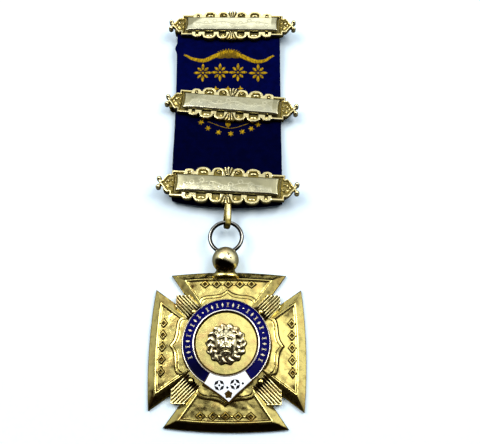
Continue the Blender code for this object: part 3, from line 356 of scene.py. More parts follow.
def grid_part(points, recess=0.0, wrap_rows=False, wrap_columns=False):
    """A grid of points as one part: its points, its quads and each point's darkening, tarnish and painted
    shade.
    """
    rows, columns = points.shape[:2]
    darkness = np.broadcast_to(recess, (rows, columns)).ravel()
    return points.reshape(-1, 3), grid_quads(rows, columns, wrap_rows, wrap_columns), darkness


def skirted(x, y, z, low, recess=0.0, foot=0.7):
    """A grid whose border is repeated straight below at height low, so that its sides are closed; the sides
    take the foot's darkening, painted shade.
    """
    points = np.stack((np.pad(x, 1, mode="edge"), np.pad(y, 1, mode="edge"),
                       np.pad(z, 1, constant_values=low)), axis=-1)
    return grid_part(points, np.pad(np.broadcast_to(recess, x.shape), 1, constant_values=foot))


def placed(part, x=0.0, y=0.0, z=0.0, turn=0.0):
    """A part turned about the upright axis and then moved."""
    points, faces, recess = part
    cosine, sine = math.cos(turn), math.sin(turn)
    moved = points @ np.array(((cosine, sine, 0.0), (-sine, cosine, 0.0), (0.0, 0.0, 1.0)))
    return moved + (x, y, z), faces, recess


def make_piece(name, parts, material, nodes=(), extra=None):
    """Joins parts into one mesh piece: doubles merged, open rims capped flat, faces turned outwards."""
    starts = np.cumsum([0] + [len(part[0]) for part in parts[:-1]])
    points = np.concatenate([part[0] for part in parts])
    faces = np.concatenate([part[1] + start for part, start in zip(parts, starts)])
    recess = np.concatenate([part[2] for part in parts])
    mesh = bpy.data.meshes.new(name)
    mesh.from_pydata((points * MM).tolist(), [], faces.tolist())
    # Each point's darkening, read by the finishes: tarnish, and painted shade in hollows, on walls and on
    # faces turned from the light
    layer = mesh.attributes.new("recess", "FLOAT", "POINT")
    layer.data.foreach_set("value", np.clip(recess, 0.0, 1.0).astype(np.float32))
    for title, values in (extra or {}).items():
        layer = mesh.attributes.new(title, "FLOAT", "POINT")
        layer.data.foreach_set("value", values.astype(np.float32))
    form = bmesh.new()
    form.from_mesh(mesh)
    bmesh.ops.remove_doubles(form, verts=form.verts, dist=WELD * MM)
    rims = [edge for edge in form.edges if edge.is_boundary]
    if rims:
        bmesh.ops.holes_fill(form, edges=rims, sides=0)
    bmesh.ops.recalc_face_normals(form, faces=form.faces)
    form.to_mesh(mesh)
    form.free()
    mesh.shade_smooth()
    mesh.set_sharp_from_angle(angle=CREASE)
    mesh.materials.append(material)
    piece = bpy.data.objects.new(name, mesh)
    bpy.context.scene.collection.objects.link(piece)
    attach(piece, "root")
    if nodes:
        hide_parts(*nodes)
    return piece


# Curves and surfaces


def oval(centre, radii, start, end, count):
    """Points on an oval arc, both ends included."""
    angle = np.linspace(start, end, count)
    return np.column_stack((centre[0] + radii[0] * np.cos(angle), centre[1] + radii[1] * np.sin(angle)))


def evenly(line, count):
    """Points spaced evenly along a line, and its length."""
    run = np.concatenate(([0.0], np.cumsum(np.linalg.norm(np.diff(line, axis=0), axis=1))))
    even = np.linspace(0.0, run[-1], count)
    return np.column_stack([np.interp(even, run, column) for column in line.T]), run[-1]


def smooth_line(corners, count):
    """Points spaced evenly along a Catmull-Rom curve through the corners."""
    knots = np.asarray(corners, float)
    ends = np.vstack((2 * knots[0] - knots[1], knots, 2 * knots[-1] - knots[-2]))
    place = np.linspace(0.0, len(knots) - 1 - 1e-9, 40 * len(knots))
    index = place.astype(int)
    t = (place - index)[:, None]
    a, b, c, d = (ends[index + step] for step in range(4))
    square, cube = 2 * a - 5 * b + 4 * c - d, 3 * b - a - 3 * c + d
    return evenly(0.5 * (2 * b + (c - a) * t + square * t ** 2 + cube * t ** 3), count)[0]


def around(centre, reach, angle, stretch=1.0):
    """Place at a reach and an angle from a centre, stretched up the jewel."""
    return centre[0] + reach * math.cos(angle), centre[1] + stretch * reach * math.sin(angle)


def lathe(profile, centre, count, recess=0.0):
    """Surface of revolution: each (radius, height) of the profile carried round an upright axis."""
    radius, height = np.asarray(profile, float).T
    angle = np.linspace(0.0, 2 * math.pi, count, endpoint=False)
    points = np.stack((centre[0] + np.outer(radius, np.cos(angle)),
                       centre[1] + np.outer(radius, np.sin(angle)),
                       np.repeat(height[:, None], count, axis=1)), axis=-1)
    return grid_part(points, np.asarray(recess, float).reshape(-1, 1), wrap_columns=True)


def hoop(centre, radius, wide, tall, sides, count, film_and_shade):
    """Hoop of oval wire round an upright axis. film_and_shade gives its darkening by the cosine of the oval's
    angle.
    """
    angle = np.linspace(0.0, 2 * math.pi, sides + 1)
    profile = np.column_stack((radius + wide * np.cos(angle), centre[2] + tall * np.sin(angle)))
    return lathe(profile, centre[:2], count, film_and_shade(np.cos(angle)))


def stepped(corners, place, rows):
    """A ring of corners repeated about a place: each row gives its scale, height and darkening, tarnish with
    painted shade.
    """
    scale, height, tone = np.array(rows)[:, :, None].swapaxes(0, 1)
    points = np.concatenate((scale[..., None] * np.asarray(corners) + place,
                             np.repeat(height, len(corners), axis=1)[..., None]), axis=-1)
    return grid_part(points, tone, wrap_columns=True)


def dome(centre, radii, rows=7, columns=16, recess=0.0, full=False):
    """An oval dome, or with full an oval ball: latitude by longitude, scaled along the three axes."""
    lowest = -math.pi / 2 if full else -0.35
    up, round_ = np.meshgrid(np.linspace(math.pi / 2, lowest, rows),
                             np.linspace(0.0, 2 * math.pi, columns, endpoint=False), indexing="ij")
    points = np.stack((centre[0] + radii[0] * np.cos(up) * np.cos(round_),
                       centre[1] + radii[1] * np.cos(up) * np.sin(round_),
                       centre[2] + radii[2] * np.sin(up)), axis=-1)
    # A dome that is not a full ball darkens towards its foot: painted shade
    tone = recess if full else recess + 0.5 * np.clip(0.35 - np.sin(up), 0.0, 1.0)
    return grid_part(points, tone, wrap_columns=True)


def carried(path, side, up, section, recess=0.0):
    """A closed section carried along a path: section (s, t) lies s along side and t along up."""
    s, t = np.asarray(section, float).T
    points = (path[:, None, :] + s[None, :, None] * side[:, None, :] + t[None, :, None] * up[:, None, :])
    return grid_part(points, recess, wrap_columns=True)


def rounded_section(width, thick, corner, crown=0.0):
    """Rectangle with rounded corners, whose upper side may be crowned by a share of a cosine arch."""
    sides = ((1, 1), (-1, 1), (-1, -1), (1, -1))
    reach, rise = width / 2 - corner, thick / 2 - corner
    quarter = [oval((across * reach, up * rise), (corner, corner), index * math.pi / 2,
                    (index + 1) * math.pi / 2, 4) for index, (across, up) in enumerate(sides)]
    top = np.column_stack((np.linspace(reach, -reach, 9)[1:-1], np.full(7, thick / 2)))
    top[:, 1] += crown * np.cos(np.pi * top[:, 0] / width)
    return np.vstack((quarter[0], top, *quarter[1:]))


def frame_along(path, fixed):
    """Unit side and up vectors along a path whose side stays the fixed direction."""
    along = np.gradient(path, axis=0)
    along /= np.linalg.norm(along, axis=1)[:, None]
    side = np.broadcast_to(np.asarray(fixed, float), path.shape)
    up = np.cross(side, along)
    return side, up / np.linalg.norm(up, axis=1)[:, None]


def distance_in(x, y, outline):
    """How far each point lies inside a closed outline, less than nought outside.

    The nearest point of any side gives the distance, and the number of sides that a ray
    crosses gives the sign.
    """
    nearest = np.full(x.shape, 1e9)
    inside = np.zeros(x.shape, bool)
    for (ax, ay), (bx, by) in zip(outline, np.roll(outline, -1, axis=0)):
        ex, ey = bx - ax, by - ay
        share = np.clip(((x - ax) * ex + (y - ay) * ey) / max(ex * ex + ey * ey, 1e-12), 0.0, 1.0)
        nearest = np.minimum(nearest, np.hypot(x - ax - share * ex, y - ay - share * ey))
        if ay != by:
            inside ^= ((ay > y) != (by > y)) & (x < ex * (y - ay) / ey + ax)
    return np.where(inside, nearest, -nearest)


def smoothed(values, passes):
    """Each value averaged with its four neighbours, as often as asked."""
    for _ in range(passes):
        padded = np.pad(values, 1, mode="edge")
        values = (padded[1:-1, 1:-1] * 2 + padded[:-2, 1:-1] + padded[2:, 1:-1] + padded[1:-1, :-2]
                  + padded[1:-1, 2:]) / 6
    return values


def struck_plate(outline, relief, low, step, passes=8, depth=0.22, clean=1.06, darkened=0.72):
    """Relief heights over a square grid whose rim is drawn onto the outline, with a wall down to low.

    relief(x, y, inward) gives the height. A point is darkened, with tarnish and painted shade, by how far it
    lies below the smoothed heights round it, and by its height between the darkened level and the clean one;
    its wall is darkened fully: painted shade.
    """
    (x_low, y_low), (x_high, y_high) = outline.min(axis=0) - 2 * step, outline.max(axis=0) + 2 * step
    x, y = np.meshgrid(np.arange(x_low, x_high, step), np.arange(y_low, y_high, step), indexing="ij")
    inward = distance_in(x, y, outline)
    slope_x, slope_y = np.gradient(inward, step)
    size = np.maximum(slope_x ** 2 + slope_y ** 2, 0.3)
    pull = np.where(np.abs(inward - 0.1 * step) < 0.6 * step, inward, 0.0)
    x, y = x - pull * slope_x / size, y - pull * slope_y / size
    z = relief(x, y, np.maximum(inward - pull, 0.0))
    hollow = (clean - z) / (clean - darkened) * 0.8 + (smoothed(z, passes) - z) / depth

    def corners(values):
        """Values at the four corners of every quad."""
        return np.stack((values[:-1, :-1], values[1:, :-1], values[:-1, 1:], values[1:, 1:]))

    keep = corners(inward > -0.5 * step).all(axis=0) & (corners(inward).sum(axis=0) > 0)
    faces = grid_quads(*x.shape)[keep.ravel()]
    used, faces = np.unique(faces, return_inverse=True)
    faces = faces.reshape(-1, 4)
    points = np.column_stack((x.ravel(), y.ravel(), z.ravel()))[used]
    pairs = np.stack((faces, np.roll(faces, -1, axis=1)), axis=-1).reshape(-1, 2)
    _, first, count = np.unique(np.sort(pairs, axis=1), axis=0, return_index=True, return_counts=True)
    rim = pairs[first[count == 1]]
    below = np.column_stack((points[:, :2], np.full(len(points), low)))
    wall = np.column_stack((rim[:, ::-1], rim + len(points)))
    return (np.vstack((points, below)), np.vstack((faces, wall)),
            np.concatenate((hollow.ravel()[used], np.full(len(points), 1.5))))


def bump(value, centre, width):
    """Bell curve about a centre."""
    return np.exp(-((value - centre) / width) ** 2)


def hump(x, y, centre, radii, turn=0.0):
    """Bell-shaped oval hump at a centre, turned by an angle."""
    dx, dy = x - centre[0], y - centre[1]
    along, across = dx * math.cos(turn) + dy * math.sin(turn), dy * math.cos(turn) - dx * math.sin(turn)
    return np.exp(-(along / radii[0]) ** 2 - (across / radii[1]) ** 2)


def round_bead(x, y, centre, radii):
    """Upper half of an oval bead of unit height, and nought beyond it."""
    share = ((x - centre[0]) / radii[0]) ** 2 + ((y - centre[1]) / radii[1]) ** 2
    return np.sqrt(np.clip(1.0 - share, 0.0, 1.0))


# Finishes


def add_node(tree, kind, values=None, links=None, **settings):
    """A shader node with its settings, its socket values and its links."""
    item = tree.nodes.new(kind)
    for key, value in settings.items():
        setattr(item, key, value)
    for key, value in (values or {}).items():
        item.inputs[key].default_value = value
    for key, source in (links or {}).items():
        tree.links.new(source, item.inputs[key])
    return item


def noise(tree, coords, scale, detail=3.0, roughness=0.55):
    """Smooth noise over the coordinates, as a value."""
    return add_node(tree, "ShaderNodeTexNoise", {"Scale": scale, "Detail": detail, "Roughness": roughness},
                    {"Vector": coords}).outputs[0]


def put(tree, item, index, value):
    """Gives a node's input a value, a colour or a link."""
    if isinstance(value, bpy.types.NodeSocket):
        tree.links.new(value, item.inputs[index])
    else:
        item.inputs[index].default_value = (*value, 1.0) if isinstance(value, (tuple, list)) else value


def blend(tree, factor, first, second, kind="MIX"):
    """Colour between two, each a colour or a socket."""
    item = add_node(tree, "ShaderNodeMix", data_type="RGBA", blend_type=kind)
    for index, value in ((0, factor), (6, first), (7, second)):
        put(tree, item, index, value)
    return item.outputs[2]


def ramp(tree, value, low, high, to_low=0.0, to_high=1.0):
    """Value mapped smoothly from one range to another and held at its ends."""
    item = add_node(tree, "ShaderNodeMapRange", {1: low, 2: high, 3: to_low, 4: to_high},
                    interpolation_type="SMOOTHSTEP")
    tree.links.new(value, item.inputs[0])
    return item.outputs[0]


def maths(tree, operation, first, second):
    """Sum, product or other operation on two values, each a number or a socket."""
    item = add_node(tree, "ShaderNodeMath", operation=operation)
    for index, value in enumerate((first, second)):
        put(tree, item, index, value)
    return item.outputs[0]


def new_finish(name, **values):
    """A material with its shader's plain values, and its tree, shader and object coordinates."""
    material = bpy.data.materials.new(name)
    material.use_nodes = True
    tree = material.node_tree
    shader = tree.nodes["Principled BSDF"]
    for key, value in values.items():
        shader.inputs[key.replace("_", " ")].default_value = value
    coords = add_node(tree, "ShaderNodeTexCoord").outputs["Object"]
    return material, tree, shader, coords


def scaled(tree, coords, scale, turn=0.0):
    """Object coordinates stretched by axis and turned in the flat, for a drawn-out grain."""
    return add_node(tree, "ShaderNodeMapping", {"Scale": scale, "Rotation": (0.0, 0.0, turn)},
                    {"Vector": coords}).outputs[0]


def attribute(tree, name):
    """A point attribute's value."""
    return add_node(tree, "ShaderNodeAttribute", attribute_name=name).outputs["Fac"]


def painted(tree, shader, tone):
    """Gives the shader its colour."""
    tree.links.new(tone, shader.inputs["Base Color"])


def tipped(tree, shader, height, strength, distance, under=None):
    """Tips the shader's surface by a height, over an earlier tipping where there is one."""
    links = {"Height": height, "Normal": under} if under else {"Height": height}
    item = add_node(tree, "ShaderNodeBump", {"Strength": strength, "Distance": distance}, links)
    tree.links.new(item.outputs[0], shader.inputs["Normal"])
    return item.outputs[0]


def times(colour, share):
    """A colour made lighter or darker."""
    return [value * share for value in colour]


def colours():
    """The scene's colours of the finishes, as plain tuples by name."""
    chosen = bpy.context.scene.jewel_colours
    return {name: tuple(getattr(chosen, name)) for name in JewelColours.__annotations__}


def gilt(name, bright, film_and_shade=None, rough=0.13, mottle=0.45, blush=(0.66, 0.34, 0.08), blush_share=0.35,
         scratch=0.12, dent=0.35, film_rough=0.22, edge=0.7):
    """Worn gilt: clean on high spots, filmed with tarnish and painted shade by each point's darkening,
    mottled, scratched and wavy.
    """
    material, tree, shader, coords = new_finish(name, Metallic=1.0, Specular_Tint=(edge, edge, edge, 1.0))
    recess = attribute(tree, "recess")
    cloud = noise(tree, coords, 300.0, 2.0, 0.45)
    patch = noise(tree, coords, 620.0, 4.0, 0.60)
    speck = noise(tree, coords, 3400.0, 2.0, 0.6)
    mottled = maths(tree, "ADD", maths(tree, "MULTIPLY", ramp(tree, patch, 0.48, 0.70), mottle),
                    maths(tree, "MULTIPLY", ramp(tree, speck, 0.50, 0.74), mottle * 0.5))
    film_and_shade_share = maths(tree, "ADD", ramp(tree, recess, 0.30, 0.95), mottled)
    warm = blend(tree, maths(tree, "MULTIPLY", ramp(tree, cloud, 0.50, 0.70), blush_share), bright, blush)
    painted(tree, shader, blend(tree, film_and_shade_share, warm, film_and_shade or colours()["tarnish"]))
    dull = maths(tree, "ADD", ramp(tree, patch, 0.3, 0.75, rough - 0.05, rough + 0.10),
                 ramp(tree, recess, 0.3, 0.9, 0.0, film_rough))
    tree.links.new(dull, shader.inputs["Roughness"])
    hair = noise(tree, scaled(tree, coords, (900.0, 9000.0, 900.0), 0.5), 1.0, 2.0)
    cross_hair = noise(tree, scaled(tree, coords, (7600.0, 700.0, 900.0), -0.2), 1.0, 2.0)
    lines = maths(tree, "ADD", ramp(tree, hair, 0.60, 0.72), ramp(tree, cross_hair, 0.62, 0.74))
    grain = maths(tree, "SUBTRACT", maths(tree, "MULTIPLY", speck, 0.6), lines)
    tipped(tree, shader, grain, scratch, 0.00002, tipped(tree, shader, cloud, dent, 0.00045))
    return material


def enamel(name, colour, speckle, rough=0.08):
    """Fired glass: glossy, faintly clouded, with pinholes and a little orange peel."""
    material, tree, shader, coords = new_finish(name, Roughness=rough, Specular_IOR_Level=0.05)
    cloud = noise(tree, coords, 500.0, 4.0)
    pin = noise(tree, coords, 6500.0, 2.0)
    tone = blend(tree, ramp(tree, cloud, 0.4, 0.7), colour, times(colour, 0.84))
    tone = blend(tree, ramp(tree, pin, 0.70, 0.78), tone, speckle)
    # The shade attribute darkens stretches of the enamel towards black: painted shade
    tone = blend(tree, attribute(tree, "shade"), tone, times(colour, 0.10))
    bare = ramp(tree, attribute(tree, "recess"), 0.45, 0.75)
    painted(tree, shader, blend(tree, bare, tone, (0.24, 0.14, 0.035)))
    tipped(tree, shader, cloud, 0.12, 0.0001)
    return material


def woven_navy():
    """Ribbed ribbon: weft ribs along its length, warp threads across them, from the cloth's own lines."""
    material, tree, shader, coords = new_finish("woven_navy", Roughness=0.9, Specular_IOR_Level=0.01)
    navy = colours()["navy"]
    across, along = attribute(tree, "across"), attribute(tree, "along")
    rib = maths(tree, "SINE", maths(tree, "MULTIPLY", along, 2 * math.pi / RIB_PITCH), 0.0)
    warp = maths(tree, "SINE", maths(tree, "MULTIPLY", across, 2 * math.pi / WARP_PITCH), 0.0)
    cloud = noise(tree, coords, 420.0, 5.0, 0.7)
    fleck = noise(tree, coords, 5200.0, 3.0, 0.7)
    tone = blend(tree, ramp(tree, cloud, 0.3, 0.7), times(navy, 0.75), times(navy, 1.45))
    tone = blend(tree, ramp(tree, fleck, 0.52, 0.74, 0.0, 0.55), tone, (0.002, 0.004, 0.10))
    # The navy darkens along the ribbon from above the middle bar down to the bottom bar and its tail: painted
    # shade
    painted(tree, shader, blend(tree, ramp(tree, along, 26.0, 52.0, 0.0, 0.55), tone, (0.0, 0.0, 0.0)))
    weave = maths(tree, "ADD", maths(tree, "MULTIPLY", rib, 0.6), maths(tree, "MULTIPLY", warp, 0.4))
    tipped(tree, shader, weave, 0.8, 0.00005)
    return material


def gold_thread():
    """Woven metal thread: close slanting stitches, uneven in tone, rubbed through to the navy in places."""
    material, tree, shader, coords = new_finish("gold_thread", Roughness=0.6, Specular_IOR_Level=0.05)
    thread = colours()["thread"]
    stitches = noise(tree, scaled(tree, coords, (3600.0, 1000.0, 1000.0), 0.6), 1.0, 2.0)
    wear = noise(tree, coords, 1500.0, 4.0, 0.7)
    tone = blend(tree, ramp(tree, stitches, 0.38, 0.62), times(thread, 0.30), thread)
    tone = blend(tree, ramp(tree, wear, 0.55, 0.75, 0.0, 0.7), tone, (0.03, 0.022, 0.02))
    # Darker brown where a leaf is darkened, at its edges and root: painted shade on its dome, with the
    # palmette darker throughout
    darkness = ramp(tree, attribute(tree, "recess"), 0.15, 0.9, 0.0, 0.85)
    painted(tree, shader, blend(tree, darkness, tone, (0.055, 0.030, 0.002)))
    tipped(tree, shader, stitches, 0.7, 0.00005)
    return material


def drawn_steel():
    """Drawn wire: fine streaks along it, lighter and darker, glossier and duller."""
    material, tree, shader, coords = new_finish("drawn_steel", Metallic=1.0)
    streak = noise(tree, scaled(tree, coords, (200.0, 9000.0, 9000.0)), 1.0, 3.0)
    painted(tree, shader, blend(tree, ramp(tree, streak, 0.35, 0.65), (0.30, 0.29, 0.26), (0.60, 0.59, 0.55)))
    tree.links.new(ramp(tree, streak, 0.3, 0.7, 0.22, 0.42), shader.inputs["Roughness"])
    return material


def floor_white():
    """Matt white board with a barely seen tooth, which the metal mirrors as a dim room floor."""
    material, tree, shader, coords = new_finish("white_board")
    tooth = noise(tree, coords, 700.0, 3.0)
    seen = blend(tree, ramp(tree, tooth, 0.3, 0.7), (0.82, 0.93, 1.00), (0.84, 0.95, 1.01))
    ray = add_node(tree, "ShaderNodeLightPath").outputs["Is Camera Ray"]
    board = add_node(tree, "ShaderNodeBsdfDiffuse")
    tree.links.new(blend(tree, ray, (0.12, 0.12, 0.11), seen), board.inputs["Color"])
    output = next(node for node in tree.nodes if node.type == "OUTPUT_MATERIAL")
    tree.links.new(board.outputs[0], output.inputs["Surface"])
    tree.nodes.remove(shader)
    return material


# Bars


def bar_edge():
    """Lower edge of a bar from left to right: half ovals standing out from a straight edge."""
    runs = [np.array([(-BAR_HALF, -BAR_RISE)])]
    for place, half, depth, ornament in SCALLOPS:
        lobe = oval((place, -BAR_RISE), (half, depth), math.pi, 2 * math.pi, 15)
        if ornament == "fan":
            left = np.array(FAN_EDGE) * (1, -1)
            lobe = np.vstack((left, (left * (-1, 1))[-2::-1]))
        else:
            lobe = lobe[np.abs(lobe[:, 0]) > FAN_HALF]
        runs.append(lobe)
    return np.vstack(runs)


def bar_outline():
    """Outline of a bar: lower edge and right end, then the same turned half round."""
    half = smooth_line([(BAR_HALF + out * END_LENGTH, -up * END_ROOT) for out, up in END_PROFILE], 14)
    ball = oval((END_X, -END_SPREAD), (END_BALL, END_BALL), *END_SWEEP, 16)
    end = np.vstack(([(BAR_HALF, -BAR_RISE)], half, ball))
    notch = [(BAR_HALF + END_NOTCH * END_LENGTH, 0.0)]
    lower = np.vstack((bar_edge(), end, notch, end[::-1] * (1, -1)))
    return np.vstack((lower, -lower))


def scroll_ridge(x, y, centre, radius, hand):
    """Ridge along an opening spiral: a ring whose radius grows with the angle round its centre."""
    dx, dy = (x - centre[0]) * hand, y - centre[1]
    angle = (np.arctan2(dy, dx) + 2.2) % (2 * math.pi)
    reach = np.hypot(dx, dy)
    return bump(reach, radius * (0.45 + 0.085 * angle), 0.13) * (angle < 5.6)


def step_up(value, start, soft):
    """Smooth step from nought to one that begins at a value and takes a soft width."""
    share = np.clip((value - start) / soft, 0.0, 1.0)
    return share * share * (3 - 2 * share)


def scallop_relief(z, x, tall, rise, scallop):
    """Heights with a scallop's loop drawn round its hollow, and the bead or curl that stands in it."""
    place, half, _, ornament = scallop
    hole_half, hole_reach = HOLES[ornament]
    centre, radii, height = BEADS[ornament]
    across = np.abs(x - place)
    own = (across < half) & (tall > GROOVE_EDGE)
    hole = ((across / hole_half) ** 3 + (np.maximum(tall - 3.6, 0.0) / hole_reach) ** 3) ** (1 / 3)
    parted = step_up(half - across + 0.3 * np.clip(4.2 - tall, 0.0, 1.0), 0.0, 0.10)
    z = np.where(own, HOLLOW + LOOP_RISE * rise * parted * step_up(hole, 0.94, 0.16), z)
    if ornament == "volute":
        hand = 1.0 if place < 0 else -1.0
        middle = (place + 0.18 * hand, centre)
        figure = np.maximum(scroll_ridge(x, tall, middle, 0.66, hand),
                            0.9 * round_bead(x, tall, middle, radii))
    else:
        figure = round_bead(x, tall, (place, centre), radii)
    return np.where(own, np.maximum(z, HOLLOW + height * figure), z)


def bar_relief(x, y, inward):
    """Struck frame: a rim round its edge, loops round the scallops' hollows, and beads, curls and fans."""
    wide, tall = np.abs(x), np.abs(y)
    beyond = tall > GROOVE_EDGE
    rise = step_up(inward, 0.0, 0.15)
    z = HOLLOW + EDGE_RISE * rise * (1 - step_up(inward, 0.48, 0.14))
    lip = np.maximum(wide - WINDOW_LIP[0], tall - WINDOW_LIP[1])
    z = np.maximum(z, HOLLOW + LIP_RISE * bump(lip, 0.20, 0.17))
    z = np.where((wide < LOOPS_HALF) & beyond, HOLLOW + LOOP_RISE * rise, z)
    for scallop in SCALLOPS:
        if scallop[3] != "fan":
            z = scallop_relief(z, x, tall, rise, scallop)
    angle = np.arctan2(x, tall - FAN_ORIGIN)
    ribs = np.clip((np.abs(np.cos(angle * math.pi / FAN_PITCH)) - 0.36) / 0.45, 0.0, 1.0)
    z = np.where((np.abs(angle) < 1.95 * FAN_PITCH) & beyond, HOLLOW, z)
    z = np.where((np.abs(angle) < 1.5 * FAN_PITCH) & beyond, HOLLOW - 0.10 + 0.98 * ribs * rise, z)
    for out, up in END_BEADS:
        place = (BAR_HALF + out * END_LENGTH, up * END_ROOT)
        z = np.maximum(z, HOLLOW + 0.52 * round_bead(wide, y, place, (0.36, 0.36)))
    loop = bump(np.hypot((wide - 16.5) / 1.1, y / 1.35), 0.9, 0.13) * (wide > 15.6)
    z = np.maximum(z, HOLLOW + 0.50 * loop)
    z = np.maximum(z, 0.70 + 0.98 * round_bead(wide, tall, (END_X, END_SPREAD), (END_BALL, END_BALL)))
    return np.where((wide < WINDOW_SUNK[0]) & (tall < WINDOW_SUNK[1]), WINDOW_FLOOR, z)


def strip(path, fixed, width, thick, crown=0.0, recess=0.3):
    """Flat strip with rounded corners carried along a path."""
    side, up = frame_along(path, fixed)
    return carried(path, side, up, rounded_section(width, thick, min(thick, width) * 0.3, crown), recess)


def keeper_part(x, tilt, back):
    """Keeper strip: down beyond one edge of the ribbon, across behind it and up beyond the other."""
    low, high = back - KEEPER_DROP, back + KEEPER_RISE
    middle, reach = RIBBON_MIDDLE - x, RIBBON_HALF + KEEPER_CLEAR + abs(math.tan(tilt)) * BAR_RISE
    bend = [(0.0, high), *((along, low + up) for along, up in KEEPER_BEND)]
    corners = [(middle - reach + along, KEEPER_PLACE, z) for along, z in bend]
    corners.append((0.0, KEEPER_PLACE, low))
    corners += [(middle + reach - along, KEEPER_PLACE, z) for along, z in reversed(bend)]
    # The keeper is darkened almost fully: painted shade, as it lies under the bar
    return strip(np.array(corners), (0.0, 1.0, 0.0), KEEPER_WIDTH, KEEPER_THICK, recess=0.95)


def clasp_parts():
    """Open hook and rolled hinge for the brooch pin, on short posts behind the top bar."""
    reach, y, z = CLASP
    rolls, posts = [], []
    for side, start, end in CLASP_SWEEPS:
        angle = np.linspace(start, end, 26)
        roll = np.column_stack((np.full(26, side * reach), y + side * CLASP_RADIUS * np.sin(angle),
                                z - CLASP_RADIUS * np.cos(angle)))
        rolls.append(strip(roll, SIDEWAYS, CLASP_WIDTH, 0.3, recess=0.4))
        post = np.array([(side * reach, y, height) for height in CLASP_POSTS])
        posts.append(strip(post, SIDEWAYS, CLASP_WIDTH, 1.0, recess=0.45))
    return rolls + posts


def bail_part():
    """Strip loop: two straight legs from under the fan, joined by a bend round the ring's wire."""
    apex = np.array(BAIL_APEX)
    reach, heading = np.hypot(*apex), math.atan2(apex[1], apex[0])
    spread = math.acos(BAIL_BEND / reach)
    bend = oval((0.0, 0.0), (BAIL_BEND, BAIL_BEND), heading + spread, heading - spread + 2 * math.pi, 26)
    start, finish = (apex + (tip - apex) * 0.03 for tip in (bend[0], bend[-1]))
    legs = start + (bend[0] - start) * np.linspace(0.0, 0.95, 8)[:, None]
    back = bend[-1] + (finish - bend[-1]) * np.linspace(0.05, 1.0, 8)[:, None]
    line = np.vstack((legs, bend, back))
    path = np.column_stack((np.zeros(len(line)), line))
    side, up = frame_along(path, SIDEWAYS)
    section = rounded_section(1.85, 0.42, 0.13, 0.10) * (1, -1) - (0.12, 0.0)
    from_middle = np.abs(section[:, 0] + 0.10)
    # Painted shade darkens the bail's edges, one face, its rear leg but for that leg's edges, and the
    # underside of its bend
    front = 0.58 + 1.2 * np.clip((from_middle - 0.54) / 0.22, 0, 1) + 0.9 * (section[:, 1] > 0.05)
    rear = np.where(from_middle > 0.74, 0.2, 1.4)
    order = np.arange(len(line))[:, None]
    darkened = np.where(order > len(legs) + 0.7 * len(bend), rear, front) + 1.3 * (line[:, :1] < 0.45)
    points, faces, recess = carried(path, side, up, section, darkened)
    narrow = 1.0 - 0.2 * np.clip((1.2 - line[:, 0]) / 1.2, 0, 1)
    points[:, 0] *= np.repeat(narrow, len(section))
    cosine, sine = math.cos(BAIL_TURN), math.sin(BAIL_TURN)
    twist = np.array(((cosine, 0.0, -sine), (0.0, 1.0, 0.0), (sine, 0.0, cosine)))
    return points @ twist + np.array(BAIL), faces, recess


def engraving(x, y):
    """Depth share of worn scrollwork: thin ridges along running S-curves with curls beside them."""
    wave = 0.62 * np.sin(x * 0.62 + 0.4) * np.cos(x * 0.11)
    line = bump(y, wave, 0.13)
    curls = np.zeros(x.shape)
    for place in np.arange(-11.0, 12.0, 2.75):
        middle = 0.9 * np.cos(place * 0.55)
        curls = np.maximum(curls, bump(np.hypot(x - place, (y - middle) * 1.1), 0.62, 0.12))
    return np.clip(np.maximum(line, curls), 0.0, 1.0) * np.clip((12.6 - np.abs(x)) / 1.5, 0, 1)


def plaque_part(seed):
    """Cushioned plaque: bevels rise from its four sides, wide ones at the ends, and meet a crowned top.

    The seed picks the bar's own painted shade, waves and marks. Painted shade is deepest towards the upper
    side, at the left end, near both ends and along the plaque's edge, and a band along the lower side is
    lighter, a painted highlight.
    """
    u, v = np.meshgrid(np.linspace(-1, 1, 261), np.linspace(-1, 1, 47), indexing="ij")
    crown = 1 - v ** 2
    end = PLAQUE_HALF[0] - PLAQUE_BOW * crown
    x, y = u * end, v * PLAQUE_HALF[1]
    from_end = end - np.abs(x)
    from_side = PLAQUE_HALF[1] - np.abs(y)
    inset = np.minimum(from_end, from_side)
    bevel = np.minimum(np.minimum(from_end / 2.0, from_side / 0.62), 1.0)
    z = 0.46 + 0.26 * (1 - np.exp(-(inset / 0.12) ** 1.3)) + 0.15 * (bevel - 0.18 * bevel ** 3) + 0.09 * crown
    z += 0.012 * np.sin(0.7 * x + seed) * np.cos(0.9 * y) + 0.006 * np.sin(1.9 * x + y)
    marks = engraving(x + 0.9 * seed, y * (1 if seed % 2 else -1))
    # Painted shade by bar, towards the upper side, in a triangle at the left end, near both ends and along
    # the edge; a painted highlight along the lower side
    recess = PLAQUE_SHADE[seed] + MARK_HAZE[seed] * marks + 0.16 - 0.40 * step_up(-v, -0.15, 0.75)
    recess -= 0.25 * step_up(-v, 0.74, 0.12)
    recess += 0.75 * step_up(v - 0.30 * (x + PLAQUE_HALF[0] - 1.4), -0.5, 0.9) * (x < -8)
    recess += 0.30 * step_up(-from_end, -1.9, 0.3) + 0.5 * bump(inset, 0.0, 0.15)
    return skirted(x, y, z - 0.018 * marks, 0.0, recess, 1.2)


# Ribbon


def ribbon_line():
    """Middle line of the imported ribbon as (y, z), from its upper tail to its lower one, and its length."""
    runs = [np.array([RIBBON_STOPS[0][:2]])]
    for (start, low, _), (end, high, count) in zip(RIBBON_STOPS[:-1], RIBBON_STOPS[1:]):
        if start == end:
            first = math.copysign(math.pi / 2, low - high)
            radius = abs(high - low) / 2
            run = oval((start, (low + high) / 2), (radius, radius), first, first + math.pi, count)
        else:
            share = np.linspace(0.0, 1.0, count)
            eased = low + (high - low) * (1 - np.cos(np.pi * share)) / 2
            run = np.column_stack((start + (end - start) * share, eased))
        runs.append(run[1:])
    return evenly(np.vstack(runs), 300)


